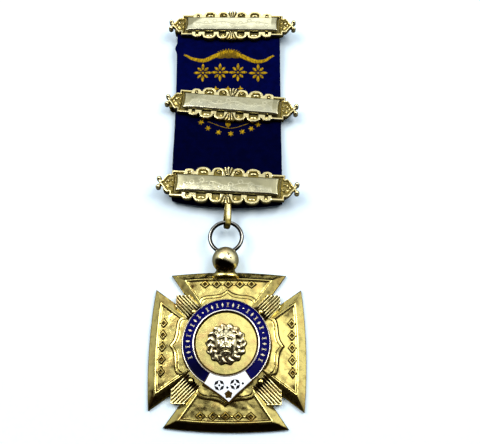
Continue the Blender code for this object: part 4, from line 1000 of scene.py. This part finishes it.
def ribbon_lean(y):
    """Slope across the ribbon at a height: its folds lie along the tilted keepers."""
    low, high = math.tan(BARS[2][3]), math.tan(BARS[0][3])
    return low + np.clip((y - BARS[2][2]) / (BARS[0][2] - BARS[2][2]), 0.0, 1.0) * (high - low)


def ribbon_half(y):
    """Half width and centre of the ribbon as it lies: it draws in a little towards the bottom bar."""
    share = np.clip((y - 52.0) / 41.7, -0.3, 1.25)
    return 15.87 + 0.50 * share, -1.07 - 0.46 * share


def ribbon_top(y):
    """Height of the ribbon's face at a place up the jewel, between the bars."""
    line, _ = ribbon_line()
    front = line[(line[:, 1] > 1.55) & (line[:, 0] > 39.5)]
    order = np.argsort(front[:, 0])
    return np.interp(y, front[order, 0], front[order, 1]) + WALL_HALF


def ribbon_part(thick):
    """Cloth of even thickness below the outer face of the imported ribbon, wrapped round its section.

    Gives the cloth, where each point lies along it and across it, and its length.
    """
    line, length = ribbon_line()
    step = np.gradient(line, axis=0)
    step /= np.linalg.norm(step, axis=1)[:, None]
    share = np.linspace(-1, 1, 65)
    s = np.concatenate((share, share[::-1]))
    face = np.repeat((1.0, -1.0), 65)
    depth = WALL_HALF - thick / 2 + face * thick * np.where(np.abs(s) > 0.985, 0.32, 0.5)
    y = line[:, :1] + step[:, 1:] * depth
    z = line[:, 1:] - step[:, :1] * depth
    half, centre = ribbon_half(y)
    frayed = 0.6 * bump(y, 93.3, 1.3) * (s < -0.9) * (-0.9 - s) / 0.1
    x = centre + s * half - frayed
    bow = FOLD_RISE * (1 + 2.4 * s ** 2 + 0.5 * s) * np.clip((48.0 - y) / 6.5, 0, 1)
    y = y + x * ribbon_lean(y) + bow
    ripple = 0.07 * np.sin(y * 0.55 + 1.3 * s) * np.sin(2.4 * s + 0.35 * y)
    z = np.where((z > 1.2) & (y < 98) & (y > 44), z + ripple - 0.07, z)
    along = np.repeat(np.linspace(0.0, length, len(line)), len(s))
    across = np.tile(s * RIBBON_HALF, len(line))
    points = np.stack((x, y, np.maximum(z, 0.02)), axis=-1)
    return grid_part(points, 0.0, wrap_columns=True), along, across, length


def leaf_part(place, heading, length, width, darkness=0.0):
    """Leaf of thread: a lens of half width sin(pi t) along its rib, domed by a hair over the cloth."""
    t, s = np.meshgrid(np.linspace(0, 1, 9), np.linspace(-1, 1, 5), indexing="ij")
    along, side = (t - 0.5) * length, s * 0.5 * width * np.sin(np.pi * t) ** 0.8
    x = place[0] + along * math.cos(heading) - side * math.sin(heading)
    y = place[1] + along * math.sin(heading) + side * math.cos(heading)
    rise = 0.05 + 0.09 * (1 - s ** 2) * np.sin(np.pi * t)
    base = ribbon_top(y - x * ribbon_lean(y)) - 0.05
    # A leaf darkens towards its edges and its root, painted shade on its dome, over the darkness it is given
    film_and_shade = darkness + 0.85 * s ** 2 + 0.5 * (1 - t) ** 2
    return skirted(x, y, base + rise, float(base.min()) - 0.1, film_and_shade, 1.0)


def leaf_row(corners, count, length, width, spread):
    """Pairs of leaves along a curve, spread to both sides of it and smaller towards its ends."""
    line = smooth_line(corners, count)
    along = np.gradient(line, axis=0)
    heading = np.arctan2(along[:, 1], along[:, 0])
    size = 0.45 + 0.55 * np.cos(np.pi / 2 * np.linspace(-0.35, 1.0, count))
    return [leaf_part(around(place, 0.45 * length * share, turn + side), turn + side, length * share,
                      width * share)
            for place, turn, share in zip(line, heading, size) for side in (-spread, spread)]


def motif_parts():
    """Garland over four rosettes, small lozenges above the middle bar and an arc of leaves below it."""
    middle = len(GARLAND) // 2
    parts = []
    for half in (GARLAND[middle:], GARLAND[middle::-1]):
        parts += leaf_row(half, 26, 1.9, 1.0, 0.30)
    for turn in np.linspace(0.06, math.pi - 0.06, 15):
        parts.append(leaf_part(around(PALMETTE, 2.7, turn, 0.5), turn, 3.7, 1.2, 0.5))
    for centre in ROSETTES:
        for petal in range(8):
            turn = petal * math.pi / 4
            length, reach = (1.8, 1.45) if petal % 2 else (2.4, 1.75)
            parts.append(leaf_part(around(centre, reach, turn, 1.15), turn, length, 1.0))
        parts.append(leaf_part(centre, 0.0, 0.9, 0.9))
    for place in THREAD_LOZENGES:
        parts += [leaf_part(place, turn, 2.0, 0.7) for turn in (0.0, math.pi / 2)]
    along = np.gradient(np.array(LOWER_ARC), axis=0)
    for place, turn in zip(LOWER_ARC, np.arctan2(along[:, 1], along[:, 0])):
        parts += [leaf_part(place, turn + tip, 2.0, 0.62) for tip in (0.6, math.pi - 0.6, math.pi / 2)]
    thin = smooth_line(THIN_LINE, 8)
    for start, end in zip(thin[:-1], thin[1:]):
        parts.append(leaf_part((start + end) / 2, math.atan2(*(end - start)[::-1]), 2.3, 0.24))
    for shift in (-0.35, 0.35, 0.0):
        parts.append(leaf_part((TREFOIL[0] + shift, TREFOIL[1]), math.pi / 2 - shift, 1.8, 0.9))
    return parts


# Cross


def arm_patch(inset, s, t):
    """Place on an arm drawn in by an inset: s runs across it from -1 to 1 and t out from its root.

    The sides are straight, and the outer edge is an arc whose radius is less by the inset.
    """
    chord_y = CROSS_REACH - CROSS_BULGE
    radius = (CROSS_HALF_CHORD ** 2 + CROSS_BULGE ** 2) / (2 * CROSS_BULGE)
    centre_y, reach = CROSS_REACH - radius, radius - inset
    shift, slope = inset / math.cos(ARM_LEAN), math.tan(ARM_LEAN)

    def side_x(y):
        """Place of the straight side at a height up the arm."""
        return CROSS_HALF_CHORD - shift - (chord_y - y) * slope

    corner = chord_y - inset
    for _ in range(20):
        corner = centre_y + math.sqrt(reach ** 2 - side_x(corner) ** 2)
    outer, root = side_x(corner), side_x(ARM_ROOT)
    x = s * (root + (outer - root) * t)
    top = centre_y + np.sqrt(reach ** 2 - (s * outer) ** 2)
    return x, ARM_ROOT + t * (top - ARM_ROOT)


def lobe_outline():
    """Ogee outline of a lobe of the ledge from right to left, and the arc that it springs from."""
    right = smooth_line(LEDGE_LOBE, 46)
    outer = np.vstack((right[:-1], (right * (-1, 1))[::-1]))
    radius, half = LOBE_ARC
    angle = np.linspace(half, -half, len(outer))
    return outer, np.column_stack((radius * np.sin(angle), radius * np.cos(angle)))


def field_shade_and_dirt(x, y, centre):
    """Darkening of an arm's field, painted shade with dirt: a line round the ledge and one round each lozenge
    of the band.
    """
    outer, inner = lobe_outline()
    away = np.maximum(-distance_in(x - centre[0], y - centre[1], np.vstack((outer, inner[::-1]))), 0.0)
    shade_and_dirt = 1.9 * np.exp(-(away / 0.24) ** 2) + 0.45 * np.exp(-away / 1.3)
    step = np.clip(np.round(x / LOZENGE_PITCH), -2, 2)
    reach = np.abs(x - step * LOZENGE_PITCH) / LOZENGE_HALF[0] + np.abs(y - BAND_PLACE) / LOZENGE_HALF[1]
    return np.maximum(shade_and_dirt, 1.5 * bump(reach, 1.12, 0.24))


def arm_parts(film_and_shade, centre):
    """One arm: rings of its outline at each inset and height of the profile, and its field.

    film_and_shade gives the tarnish and painted shade of its facets and centre the ledge's centre as seen
    from the arm. The field takes painted shade along its border and in its outer corners.
    """
    side, edge = np.linspace(0, 1, 25), np.linspace(-1, 1, 57)
    s = np.concatenate((np.full(24, -1.0), edge, np.full(24, 1.0), edge[::-1][1:-1]))
    t = np.concatenate((side[:-1], np.ones(57), side[::-1][1:], np.zeros(55)))
    one_end, middle, other_end, left, right = film_and_shade
    bevel = np.interp(edge, (-1.0, -0.3, 0.4, 1.0), (one_end, middle, middle, other_end))
    facet = np.concatenate((np.full(24, left), bevel, np.full(24, right), np.zeros(55)))
    rings = [np.column_stack((*arm_patch(inset, s, t), np.full(len(s), height)))
             for inset, height, _ in ARM_PROFILE]
    share = np.array([[row[2]] for row in ARM_PROFILE])
    tone = np.where(share > 1.0, np.maximum(0.55 * share, facet), share * facet)
    walls = grid_part(np.array(rings), tone, wrap_columns=True)
    s, t = np.meshgrid(np.linspace(-1, 1, 185), np.linspace(0, 1, 97), indexing="ij")
    inset, height, _ = ARM_PROFILE[-1]
    x, y = arm_patch(inset, s, t)
    dish = (1 - s ** 2) * 4 * t * (1 - t)
    wave = 0.05 * np.sin(0.9 * x + 0.4) * np.cos(0.8 * y) + 0.03 * np.sin(0.5 * x - 0.7 * y)
    # Painted shade along the field's border and in its outer corners
    border = np.minimum(1 - np.abs(s), np.minimum(1 - t, 0.5)) * 9.0
    from_corner = np.hypot(1 - np.abs(s), 1 - t)
    shade = np.maximum(BORDER_SHADE * np.exp(-border / 0.5),
                       CORNER_SHADE * bump(from_corner, 0.0, np.where(s < 0, *CORNER_SPREAD)))
    points = np.stack((x, y, height + dish * (wave - 0.03)), axis=-1)
    return [walls, grid_part(points, np.maximum(field_shade_and_dirt(x, y, centre), shade))]


def band_parts():
    """Row of stepped lozenges with pellets between them, standing on an arm's field."""
    parts = []
    for step in range(-2, 3):
        x = step * LOZENGE_PITCH
        parts.append(stepped(LOZENGE_CORNERS, (x, BAND_PLACE), LOZENGE_ROWS))
        if step > -2:
            parts.append(dome((x - LOZENGE_PITCH / 2, BAND_PLACE, 2.2), (0.36, 0.36, 0.34), 6, 12, 0.05))
    return parts


def ray_part():
    """Bundle of rounded ribs along +Y, cut off square to the axes of the cross at its end."""
    w, t = np.meshgrid(np.linspace(-RAY_HALF, RAY_HALF, 8 * RAY_COUNT + 1),
                       np.append(np.linspace(0.0, 0.92, 16), (0.95, 0.975, 1.0)), indexing="ij")
    end = RAY_CORNER * math.sqrt(2) - np.abs(w)
    phase = np.abs(np.cos(np.pi * (w + RAY_HALF) / (2 * RAY_HALF / RAY_COUNT) - math.pi / 2))
    y = RAY_ROOT + t * (end - RAY_ROOT)
    cut = np.clip((end - y) / 0.45, 0, 1)
    z = 2.12 - 0.50 * (1 - phase ** 0.6) * cut + 0.06 * np.sin(0.9 * y + w)
    # The grooves between the ribs are darkened, and a band where the pellet stands: tarnish with painted
    # shade
    tone = (1.38 - 1.50 * phase ** 0.9) * cut + 1.1 * bump(y, 12.35, 1.15)
    return skirted(w, y, z, 0.6, tone, 0.8)


def ruled(inner, outer, share):
    """Places on the lines from each inner point to its outer one, by rows of shares."""
    return inner[:, 0] + share * (outer - inner)[:, 0], inner[:, 1] + share * (outer - inner)[:, 1]


def lobe_part():
    """One lobe of the ledge: ruled between the roundel's edge and its ogee outline, with a cut line."""
    outer, inner = lobe_outline()
    length = np.maximum(np.linalg.norm(outer - inner, axis=1), 1.3)
    share = np.vstack([1 - inset / length for inset, _, _ in LOBE_ROWS]
                      + [np.minimum(reach / length, 0.4) for reach, _ in LOBE_ROOT_ROWS])
    drop, tone = np.array([row[1:] for row in LOBE_ROWS] + [(0.0, film_and_shade) for _, film_and_shade in LOBE_ROOT_ROWS]).T
    x, y = ruled(inner, outer, share)
    return skirted(x, y, LEDGE_TOP - drop[:, None] + 0 * x, 1.7, tone[:, None] + 0 * x, 1.1)


def pellet_part(angle):
    """Pellet on the ledge at an angle from its centre, darkened all but its crown: painted shade."""
    points, faces, _ = dome((*around(LEDGE_CENTRE, PELLET_REACH, angle), PELLET_HEIGHT), (PELLET_RADIUS,) * 3,
                            13, 26)
    return points, faces, 1.3 * np.clip((3.30 - points[:, 2]) / 0.25, 0, 1)


def ball_part():
    """Polished ball: darkened below its middle as a painted reflection of the dark table, and in spots of
    painted shade over its lamps' reflections.
    """
    points, faces, _ = dome(BALL, (BALL_RADIUS,) * 3, 49, 72, full=True)
    out = points - np.array(BALL)
    below = (-out[:, 1] - 0.30 * out[:, 0]) / BALL_RADIUS
    beside = np.abs(out[:, 0]) / BALL_RADIUS
    tone = 0.1 + 0.9 * np.clip((below - 0.10) / 0.30, 0, 1) * (1 - step_up(beside, 0.58, 0.36))
    for *spot, wide, amount in BALL_SHADE_SPOTS:
        tone += amount * bump(np.linalg.norm(out - spot, axis=1), 0.0, wide)
    return points, faces, tone


def collar_part():
    """Collar under the ball: its rows carried round a line up the jewel and squashed from front to back."""
    radius, place, tone = np.array(COLLAR_ROWS).T
    points, faces, tone = lathe(np.column_stack((radius, place)), (0.0, 0.0), 48, tone)
    return points[:, (0, 2, 1)] * (1.0, 1.0, COLLAR_SQUASH) + (BALL[0], BALL[1], COLLAR_HEIGHT), faces, tone


# Roundel


def round_place(x, y):
    """Place on the roundel turned with its scroll, for a point given from the roundel's centre."""
    cosine, sine = math.cos(SCROLL_TURN), math.sin(SCROLL_TURN)
    return ROUNDEL[0] + x * cosine - y * sine, ROUNDEL[1] + x * sine + y * cosine


def scroll_grid(inner_radius, grow, rows=15, columns=45):
    """Ruled patch between the inner rim's arc and the pointed foot, grown by a margin."""
    turn, radius = SCROLL_HALF + grow / ROUNDEL_RADIUS, ROUNDEL_RADIUS + grow
    foot = [(across + grow * 0.9 * (across > 0), out + grow * (1.0 + 0.7 * (across == 0)))
            for across, out in SCROLL_FOOT]
    half = smooth_line([(radius * math.sin(turn), radius * math.cos(turn)), *foot], columns // 2 + 1)
    outer = np.vstack((half[:-1], (half * (-1, 1))[::-1])) * (1, -1)
    angle = np.linspace(turn, -turn, len(outer))
    inner = np.column_stack((inner_radius * np.sin(angle), -inner_radius * np.cos(angle)))
    return ruled(inner, outer, np.linspace(0, 1, rows)[:, None])


def scroll_part(inner_radius, grow, top, low, crown=0.0, chip=False, darkened=0.0):
    """Scroll plate at a height, crowned towards its middle, with the hollow of a lost chip if asked."""
    x, y = scroll_grid(inner_radius, grow, *((60, 121) if chip else ()))
    row, column = (np.minimum(np.arange(count), np.arange(count)[::-1]) / count for count in x.shape)
    edge = np.minimum(row[:, None] / 0.1, column / 0.05)
    z = top + crown * np.clip(edge, 0, 1) ** 0.5
    recess = np.full(x.shape, darkened)
    if chip:
        up = y - CHIP_PLACE
        inside = 0.92 + 0.10 * np.sin(5 * np.arctan2(up, x)) - np.hypot(x, up)
        z = z - 0.30 * np.clip(inside / 0.1, 0, 1) * (0.75 + 0.25 * np.sin(9 * x) * np.cos(11 * y))
        recess = np.clip((inside + 0.02) / 0.06, 0, 1)
    x, y = round_place(x, y)
    return skirted(x, y, z, low, recess, darkened * 1.2)


def ring_sector(inner, outer, start, end, z, low, count=150):
    """Band of a ring between two angles, dished like a meniscus between its two rims."""
    angle = np.linspace(start, end, count)
    share = np.linspace(0, 1, 13)[:, None]
    radius = inner + (outer - inner) * share
    x, y = ROUNDEL[0] + radius * np.cos(angle), ROUNDEL[1] + radius * np.sin(angle)
    return skirted(x, y, z + 0.05 * (2 * share - 1) ** 6 + 0 * angle, low, 0.0, 0.0)


def lozenge(place, heading, half_long, half_wide, z, thick=0.05):
    """Small flat lozenge inlay with a bevelled edge."""
    cosine, sine = math.cos(heading), math.sin(heading)
    long_, wide = np.array((cosine, sine)) * half_long, np.array((-sine, cosine)) * half_wide
    return stepped((long_, wide, -long_, -wide), place,
                   ((1.0, z - 0.12, 0.1), (0.86, z + thick, 0.1), (0.0, z + thick, 0.1)))


def motto_parts():
    """Inlay that runs round the blue ring: groups of crossed bars and lozenges with pellets between."""
    parts = []
    angles = iter(np.linspace(*MOTTO_SWEEP, sum(MOTTO_GROUPS) + len(MOTTO_GROUPS) - 1))
    for group, count in enumerate(MOTTO_GROUPS):
        if group:
            pellet = (*around(ROUNDEL, MOTTO_RADIUS, next(angles)), MOTTO_HEIGHT)
            parts.append(dome(pellet, (0.22, 0.22, 0.08), 5, 10))
        for index in range(count):
            angle = next(angles)
            for out, half_long, half_wide in LOZENGE_MARK if index % 2 else BAR_MARK:
                place = around(ROUNDEL, MOTTO_RADIUS + out, angle)
                parts.append(lozenge(place, angle, half_long, half_wide, MOTTO_HEIGHT))
    return parts


def scroll_marks():
    """Black figures on the white scroll: two ringed lozenges and two dots."""
    parts = []
    for centre in SCROLL_FIGURES:
        for quarter in range(4):
            turn = (quarter + 0.5) * math.pi / 2
            place = round_place(*around(centre, 0.92, turn))
            parts.append(lozenge(place, turn + math.pi / 2 + SCROLL_TURN, 0.94, 0.44, FIGURE_HEIGHT, 0.03))
        parts.append(lozenge(round_place(*centre), SCROLL_TURN, 0.36, 0.36, FIGURE_HEIGHT, 0.03))
    return parts + [dome((*round_place(*place), FIGURE_HEIGHT), (0.30, 0.30, 0.05), 5, 12)
                    for place in SCROLL_DOTS]


def mask_outline():
    """Wavy outline of the mane, fuller at the foot."""
    angle = np.linspace(0, 2 * math.pi, 240, endpoint=False)
    reach = 5.15 * (1 + 0.045 * np.cos(14 * angle) - 0.06 * np.sin(angle))
    return np.column_stack((reach * np.cos(angle), reach * np.sin(angle)))


def mask_relief(x, y, inward):
    """Lion's face: a domed mane of curling locks, a raised face, and humps for each feature of it."""
    reach, angle, wide = np.hypot(x, y), np.arctan2(y, x), np.abs(x)
    z = 0.25 + 1.05 * np.sqrt(np.clip(1 - (reach / 5.9) ** 2, 0, 1))
    outer_locks = np.abs(np.sin(8 * angle + 0.55 * np.sin(2.2 * reach))) - 0.5
    inner_locks = np.abs(np.sin(6.5 * angle + 0.9 + 0.5 * np.sin(2.0 * reach))) - 0.5
    z += 0.30 * outer_locks * bump(reach, 4.5, 0.75) + 0.28 * inner_locks * bump(reach, 3.3, 0.6)
    face = np.clip(1 - (x / 2.75) ** 2 - ((y + 0.1) / 3.3) ** 2, 0, 1)
    z += 0.62 * face ** 0.45
    for centre, radii, turn, rise in MASK_FEATURES:
        z += rise * hump(wide, y, centre, radii, turn)
    z -= 0.30 * bump(y + 0.22 * np.clip(wide, 0, 1.3) ** 2, -1.95, 0.12) * (wide < 1.35)
    z -= 0.20 * bump(x, 0.0, 0.07) * ((y < -1.0) & (y > -1.9))
    return z * np.clip(0.35 + inward / 0.5, 0, 1)


# Operators


class PieceOperator(bpy.types.Operator):
    """Common settings of the operators that build pieces."""

    bl_options = {"REGISTER"}


class JEWEL_OT_stage(PieceOperator):
    """Adds the white floor, the studio light and the camera."""

    bl_idname = "jewel.stage"
    bl_label = "Stage"

    def execute(self, context):
        scene = context.scene
        mesh = bpy.data.meshes.new("floor")
        square = ((-1, -1), (1, -1), (1, 1), (-1, 1))
        corners = [(x * FLOOR_HALF, y * FLOOR_HALF, FLOOR_LEVEL) for x, y in square]
        mesh.from_pydata(corners, [], [(0, 1, 2, 3)])
        mesh.materials.append(floor_white())
        floor = bpy.data.objects.new("floor", mesh)
        scene.collection.objects.link(floor)
        self.add_lights(scene)
        self.add_world(scene)
        lens = bpy.data.cameras.new("camera")
        lens.lens = LENS
        lens.sensor_width = SENSOR
        lens.clip_start = LENS_START
        camera = bpy.data.objects.new("camera", lens)
        pose = Matrix.Translation(CAMERA_PLACE)
        for angle, axis in CAMERA_TURNS:
            pose = pose @ Matrix.Rotation(angle, 4, axis)
        camera.matrix_world = pose
        scene.collection.objects.link(camera)
        scene.camera = camera
        scene.view_settings.view_transform = "Standard"
        scene.view_settings.look = "None"
        scene.view_settings.exposure = 0.0
        return {"FINISHED"}

    def add_lights(self, scene):
        """Two square lamps turned to the jewel's middle."""
        for name, place, size, power, colour in SOFTBOXES:
            data = bpy.data.lights.new(name, "AREA")
            data.shape = "SQUARE"
            data.size = size
            data.energy = power
            data.color = colour
            light = bpy.data.objects.new(name, data)
            turn = (Vector(place) - Vector(JEWEL_MIDDLE)).to_track_quat("Z", "Y").to_matrix().to_4x4()
            light.matrix_world = Matrix.Translation(place) @ turn
            scene.collection.objects.link(light)

    def add_world(self, scene):
        """Studio dome: bright overhead and behind, dim towards the viewer, by the sky's direction."""
        world = bpy.data.worlds.new("studio")
        world.use_nodes = True
        tree = world.node_tree
        background = tree.nodes["Background"]
        way = add_node(tree, "ShaderNodeTexCoord").outputs["Generated"]
        split = add_node(tree, "ShaderNodeSeparateXYZ", links={0: way})
        sky = maths(tree, "MULTIPLY", ramp(tree, split.outputs["Y"], 0.0, 0.17),
                    ramp(tree, split.outputs["Z"], -0.12, 0.37))
        tone = blend(tree, sky, SKY_NEAR, SKY_FAR)
        for direction, full, gone, colour in SKY_PATCHES:
            facing = add_node(tree, "ShaderNodeVectorMath", {1: Vector(direction).normalized()}, {0: way},
                              operation="DOT_PRODUCT").outputs["Value"]
            share = ramp(tree, facing, math.cos(math.radians(gone)), math.cos(math.radians(full)))
            tone = blend(tree, share, tone, colour)
        bluer = blend(tree, 1.0, tone, SKY_TINT, "MULTIPLY")
        matt_ray = add_node(tree, "ShaderNodeLightPath").outputs["Is Diffuse Ray"]
        tree.links.new(blend(tree, matt_ray, tone, bluer), background.inputs["Color"])
        background.inputs["Strength"].default_value = 1.0
        scene.world = world


class JEWEL_OT_ribbon(PieceOperator):
    """Adds the folded ribbon and its garland of gold thread."""

    bl_idname = "jewel.ribbon"
    bl_label = "Ribbon"

    def execute(self, context):
        sizes = context.scene.jewel_sizes
        part, along, across, length = ribbon_part(sizes.ribbon_thickness / MM)
        ribbon = make_piece("folded_ribbon", [part], woven_navy(), ["ribbon"],
                            {"along": along, "across": across})
        garland = make_piece("ribbon_garland", motif_parts(), gold_thread())
        return {"FINISHED"}


class JEWEL_OT_bars(PieceOperator):
    """Adds the three struck bars with their keepers, clasp and bail."""

    bl_idname = "jewel.bars"
    bl_label = "Bars"

    def execute(self, context):
        finish = gilt("worn_pale_gilt", colours()["bar_gold"], (0.135, 0.108, 0.028), rough=0.16, mottle=0.12,
                      blush_share=0.1)
        points, faces, recess = struck_plate(bar_outline(), bar_relief, 0.0,
                                             context.scene.jewel_sizes.relief_step / MM)
        # The upper scallops take painted shade, and the beads at the ends are kept clear of darkening
        from_ball = np.hypot(np.abs(points[:, 0]) - END_X, np.abs(points[:, 1]) - END_SPREAD)
        darkened = np.maximum(recess, 0.0) + UPPER_SHADE * step_up(points[:, 1], 2.9, 0.5)
        struck = points, faces, darkened * (1 - 0.85 * bump(from_ball, 0.0, 0.85))
        for name, x, y, tilt, back in BARS:
            parts = [placed(struck, x, y, back, tilt), placed(keeper_part(x, tilt, back), x, y, 0.0, tilt)]
            if name == "top_bar":
                parts += [placed(part, x, y, 0.0, tilt) for part in clasp_parts()]
            if name == "bottom_bar":
                parts.append(bail_part())
            make_piece("struck_" + name, parts, finish, [name])
        return {"FINISHED"}


class JEWEL_OT_plaques(PieceOperator):
    """Adds the three cushioned plaques."""

    bl_idname = "jewel.plaques"
    bl_label = "Plaques"

    def execute(self, context):
        finish = gilt("rubbed_silver_gilt", colours()["silver_gold"], (0.26, 0.25, 0.155), mottle=0.20,
                      blush=(0.60, 0.56, 0.38), blush_share=0.5, scratch=0.15, dent=0.14)
        for index, (name, x, y, tilt, back) in enumerate(BARS):
            part = placed(plaque_part(index), x, y, back + PLAQUE_SEAT, tilt)
            make_piece("cushioned_" + name + "_plaque", [part], finish, [name + "_plaque"])
        return {"FINISHED"}


class JEWEL_OT_cross(PieceOperator):
    """Adds the cross with its bands, rays, ledge, pellets, ball and collar."""

    bl_idname = "jewel.cross"
    bl_label = "Cross"

    def execute(self, context):
        finish = gilt("worn_warm_gilt", colours()["cross_gold"], mottle=0.36)
        chased = gilt("chased_gilt", (0.84, 0.75, 0.38), (0.030, 0.018, 0.006), rough=0.16, mottle=0.20,
                      dent=0.08)
        polished = gilt("polished_gilt", (0.92, 0.85, 0.50), (0.016, 0.010, 0.004), rough=0.32, mottle=0.20,
                        dent=0.4, film_rough=-0.10)
        arms, bands, rays, lobes = [], [], [], []
        for quarter, film_and_shade in enumerate(ARM_TARNISH_AND_SHADE):
            turn = quarter * math.pi / 2
            seen = Matrix.Rotation(-turn, 2) @ Vector(LEDGE_CENTRE)
            arms += [placed(part, turn=turn) for part in arm_parts(film_and_shade, seen)]
            bands += [placed(part, turn=turn) for part in band_parts()]
            rays.append(placed(ray_part(), turn=turn + math.pi / 4))
            lobes += [placed(lobe_part(), *LEDGE_CENTRE, turn=turn), pellet_part(turn + math.pi / 4)]
        # The hub under the roundel is darkened: painted shade
        arms.append(lathe(HUB, (0.0, 0.0), 64, 0.6))
        make_piece("struck_cross", arms, finish, ["cross"])
        for name, parts, coat in (("arm_bands", bands, finish), ("ray_bundles", rays, chased),
                                  ("lobed_ledge", lobes, finish), ("ball", [ball_part()], polished),
                                  ("collar", [collar_part()], finish)):
            make_piece(name, parts, coat)
        return {"FINISHED"}


class JEWEL_OT_ring(PieceOperator):
    """Adds the suspension ring and finishes the brooch pin."""

    bl_idname = "jewel.ring"
    bl_label = "Ring and pin"

    def execute(self, context):
        finish = gilt("pale_wire_gilt", (0.34, 0.34, 0.31), (0.006, 0.006, 0.005), rough=0.14, mottle=0.25,
                      blush=(0.24, 0.24, 0.21), scratch=0.2, dent=0.2, film_rough=0.05, edge=0.1)

        def sides(cosine):
            """Darkening of the wire, painted shade: dark inside and outside, clean on its crest."""
            return 1.5 * np.clip((-0.04 - cosine) / 0.12, 0, 1) + 1.5 * np.clip((cosine - 0.38) / 0.12, 0, 1)

        wire = hoop(RING, RING_RADIUS, RING_WIRE, RING_WIRE, 40, 96, sides)
        seam = dome(np.add(RING, RING_SEAM), (0.50, 0.62, 0.50), 13, 20, 0.35, full=True)
        make_piece("suspension_wire", [wire, seam], finish, ["suspension_ring"])
        steel = drawn_steel()
        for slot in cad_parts["brooch_pin"].material_slots:
            slot.material = steel
        return {"FINISHED"}


class JEWEL_OT_roundel(PieceOperator):
    """Adds the roundel's tray, its enamels, their inlays and the cast lion mask."""

    bl_idname = "jewel.roundel"
    bl_label = "Roundel"

    def execute(self, context):
        self.add_setting()
        self.add_enamels(context.scene.jewel_sizes.enamel_rise / MM)
        inlay = gilt("inlay_gilt", (0.80, 0.74, 0.52), rough=0.22, mottle=0.5)
        make_piece("ring_inlay", motto_parts(), inlay)
        black = enamel("black_glass", (0.006, 0.006, 0.007), (0.03, 0.03, 0.03), 0.2)
        make_piece("scroll_figures", scroll_marks(), black)
        # The mask darkens in its hollows and low parts: painted shade with tarnish
        mask = struck_plate(mask_outline(), mask_relief, -0.3, 0.075, passes=30, depth=0.24, clean=2.15,
                            darkened=0.75)
        silver = gilt("cast_silver_gilt", (0.68, 0.62, 0.38), (0.040, 0.024, 0.008), rough=0.18, mottle=0.15,
                      scratch=0.1, dent=0.2)
        cast = placed(mask, *ROUNDEL, MASK_HEIGHT)
        make_piece("cast_lion_mask", [cast], silver, ["lion_mask"])
        return {"FINISHED"}

    def add_setting(self):
        """Tray with the scroll's plate, and the two bright rims."""
        radius, height, tone = np.array(TRAY_ROWS).T
        tray = lathe(np.column_stack((radius, height)), ROUNDEL, 160, tone)
        # The scroll's plate, seen beside the white enamel, is darkened fully: painted shade
        plate = scroll_part(8.15, 0.30, 4.66, 2.7, darkened=1.0)
        finish = gilt("roundel_gilt", (0.86, 0.75, 0.26), rough=0.17, mottle=0.10, blush=(0.76, 0.44, 0.20),
                      blush_share=0.55, dent=0.14)
        make_piece("roundel_tray", [tray, plate], finish, ["roundel_setting"])
        # Each rim is darkened on one side: painted shade
        rims = [hoop((*ROUNDEL, RIM_HEIGHT), radius, wide, RIM_RISE, 14, 160,
                     lambda cosine: 0.85 * (cosine * outward > 0.2)) for radius, wide, outward in RIMS]
        bright = gilt("bright_rim_gilt", (0.98, 0.95, 0.86), rough=0.22, mottle=0.08, blush_share=0.1,
                      dent=0.1)
        make_piece("bright_rims", rims, bright)

    def add_enamels(self, level):
        """Blue ring, darkened with painted shade in stretches, from one side of the scroll to the other, and
        the white scroll.
        """
        start, end = SCROLL_TURN - math.pi / 2, SCROLL_TURN + 1.5 * math.pi
        ring = ring_sector(*BLUE_RING, start + SCROLL_HALF - 0.05, end - SCROLL_HALF + 0.05, level, 4.1)
        angle = np.arctan2(ring[0][:, 1] - ROUNDEL[1], ring[0][:, 0] - ROUNDEL[0])
        shade = sum(amount * bump(np.angle(np.exp(1j * (angle - middle))), 0.0, wide)
                    for middle, wide, amount in RING_SHADE)
        blue = enamel("royal_blue_glass", colours()["blue"], (0.10, 0.10, 0.32))
        make_piece("blue_ring", [ring], blue, ["blue_enamel"],
                   {"shade": np.clip(shade, 0.0, 1.0)})
        white = enamel("white_glass", colours()["white"], (0.42, 0.40, 0.36), 0.12)
        scroll = scroll_part(8.44, 0.0, 4.72, 4.2, 0.11, chip=True)
        make_piece("white_scroll", [scroll], white, ["white_enamel"])


class JEWEL_PT_panel(bpy.types.Panel):
    """Lists the jewel's pieces, sizes and colours."""

    bl_label = "Lodge jewel"
    bl_idname = "JEWEL_PT_panel"
    bl_space_type = "VIEW_3D"
    bl_region_type = "UI"
    bl_category = "Jewel"

    def draw(self, context):
        for operator in OPERATORS:
            self.layout.operator(operator.bl_idname)
        for group in (context.scene.jewel_sizes, context.scene.jewel_colours):
            for name in group.__annotations__:
                self.layout.prop(group, name)


OPERATORS = (JEWEL_OT_stage, JEWEL_OT_ribbon, JEWEL_OT_bars, JEWEL_OT_plaques, JEWEL_OT_cross, JEWEL_OT_ring,
             JEWEL_OT_roundel)
CLASSES = (JewelSizes, JewelColours, *OPERATORS, JEWEL_PT_panel)


def register():
    """Makes the classes known to Blender and gives each scene its sizes and colours."""
    for item in CLASSES:
        bpy.utils.register_class(item)
    bpy.types.Scene.jewel_sizes = PointerProperty(type=JewelSizes)
    bpy.types.Scene.jewel_colours = PointerProperty(type=JewelColours)


def unregister():
    """Takes back all that register() did."""
    del bpy.types.Scene.jewel_colours
    del bpy.types.Scene.jewel_sizes
    for item in reversed(CLASSES):
        bpy.utils.unregister_class(item)


def main():
    """Builds the stage and every piece."""
    register()
    bpy.ops.jewel.stage()
    bpy.ops.jewel.bars()
    bpy.ops.jewel.ribbon()
    bpy.ops.jewel.plaques()
    bpy.ops.jewel.cross()
    bpy.ops.jewel.ring()
    bpy.ops.jewel.roundel()


if __name__ == "__main__":
    main()
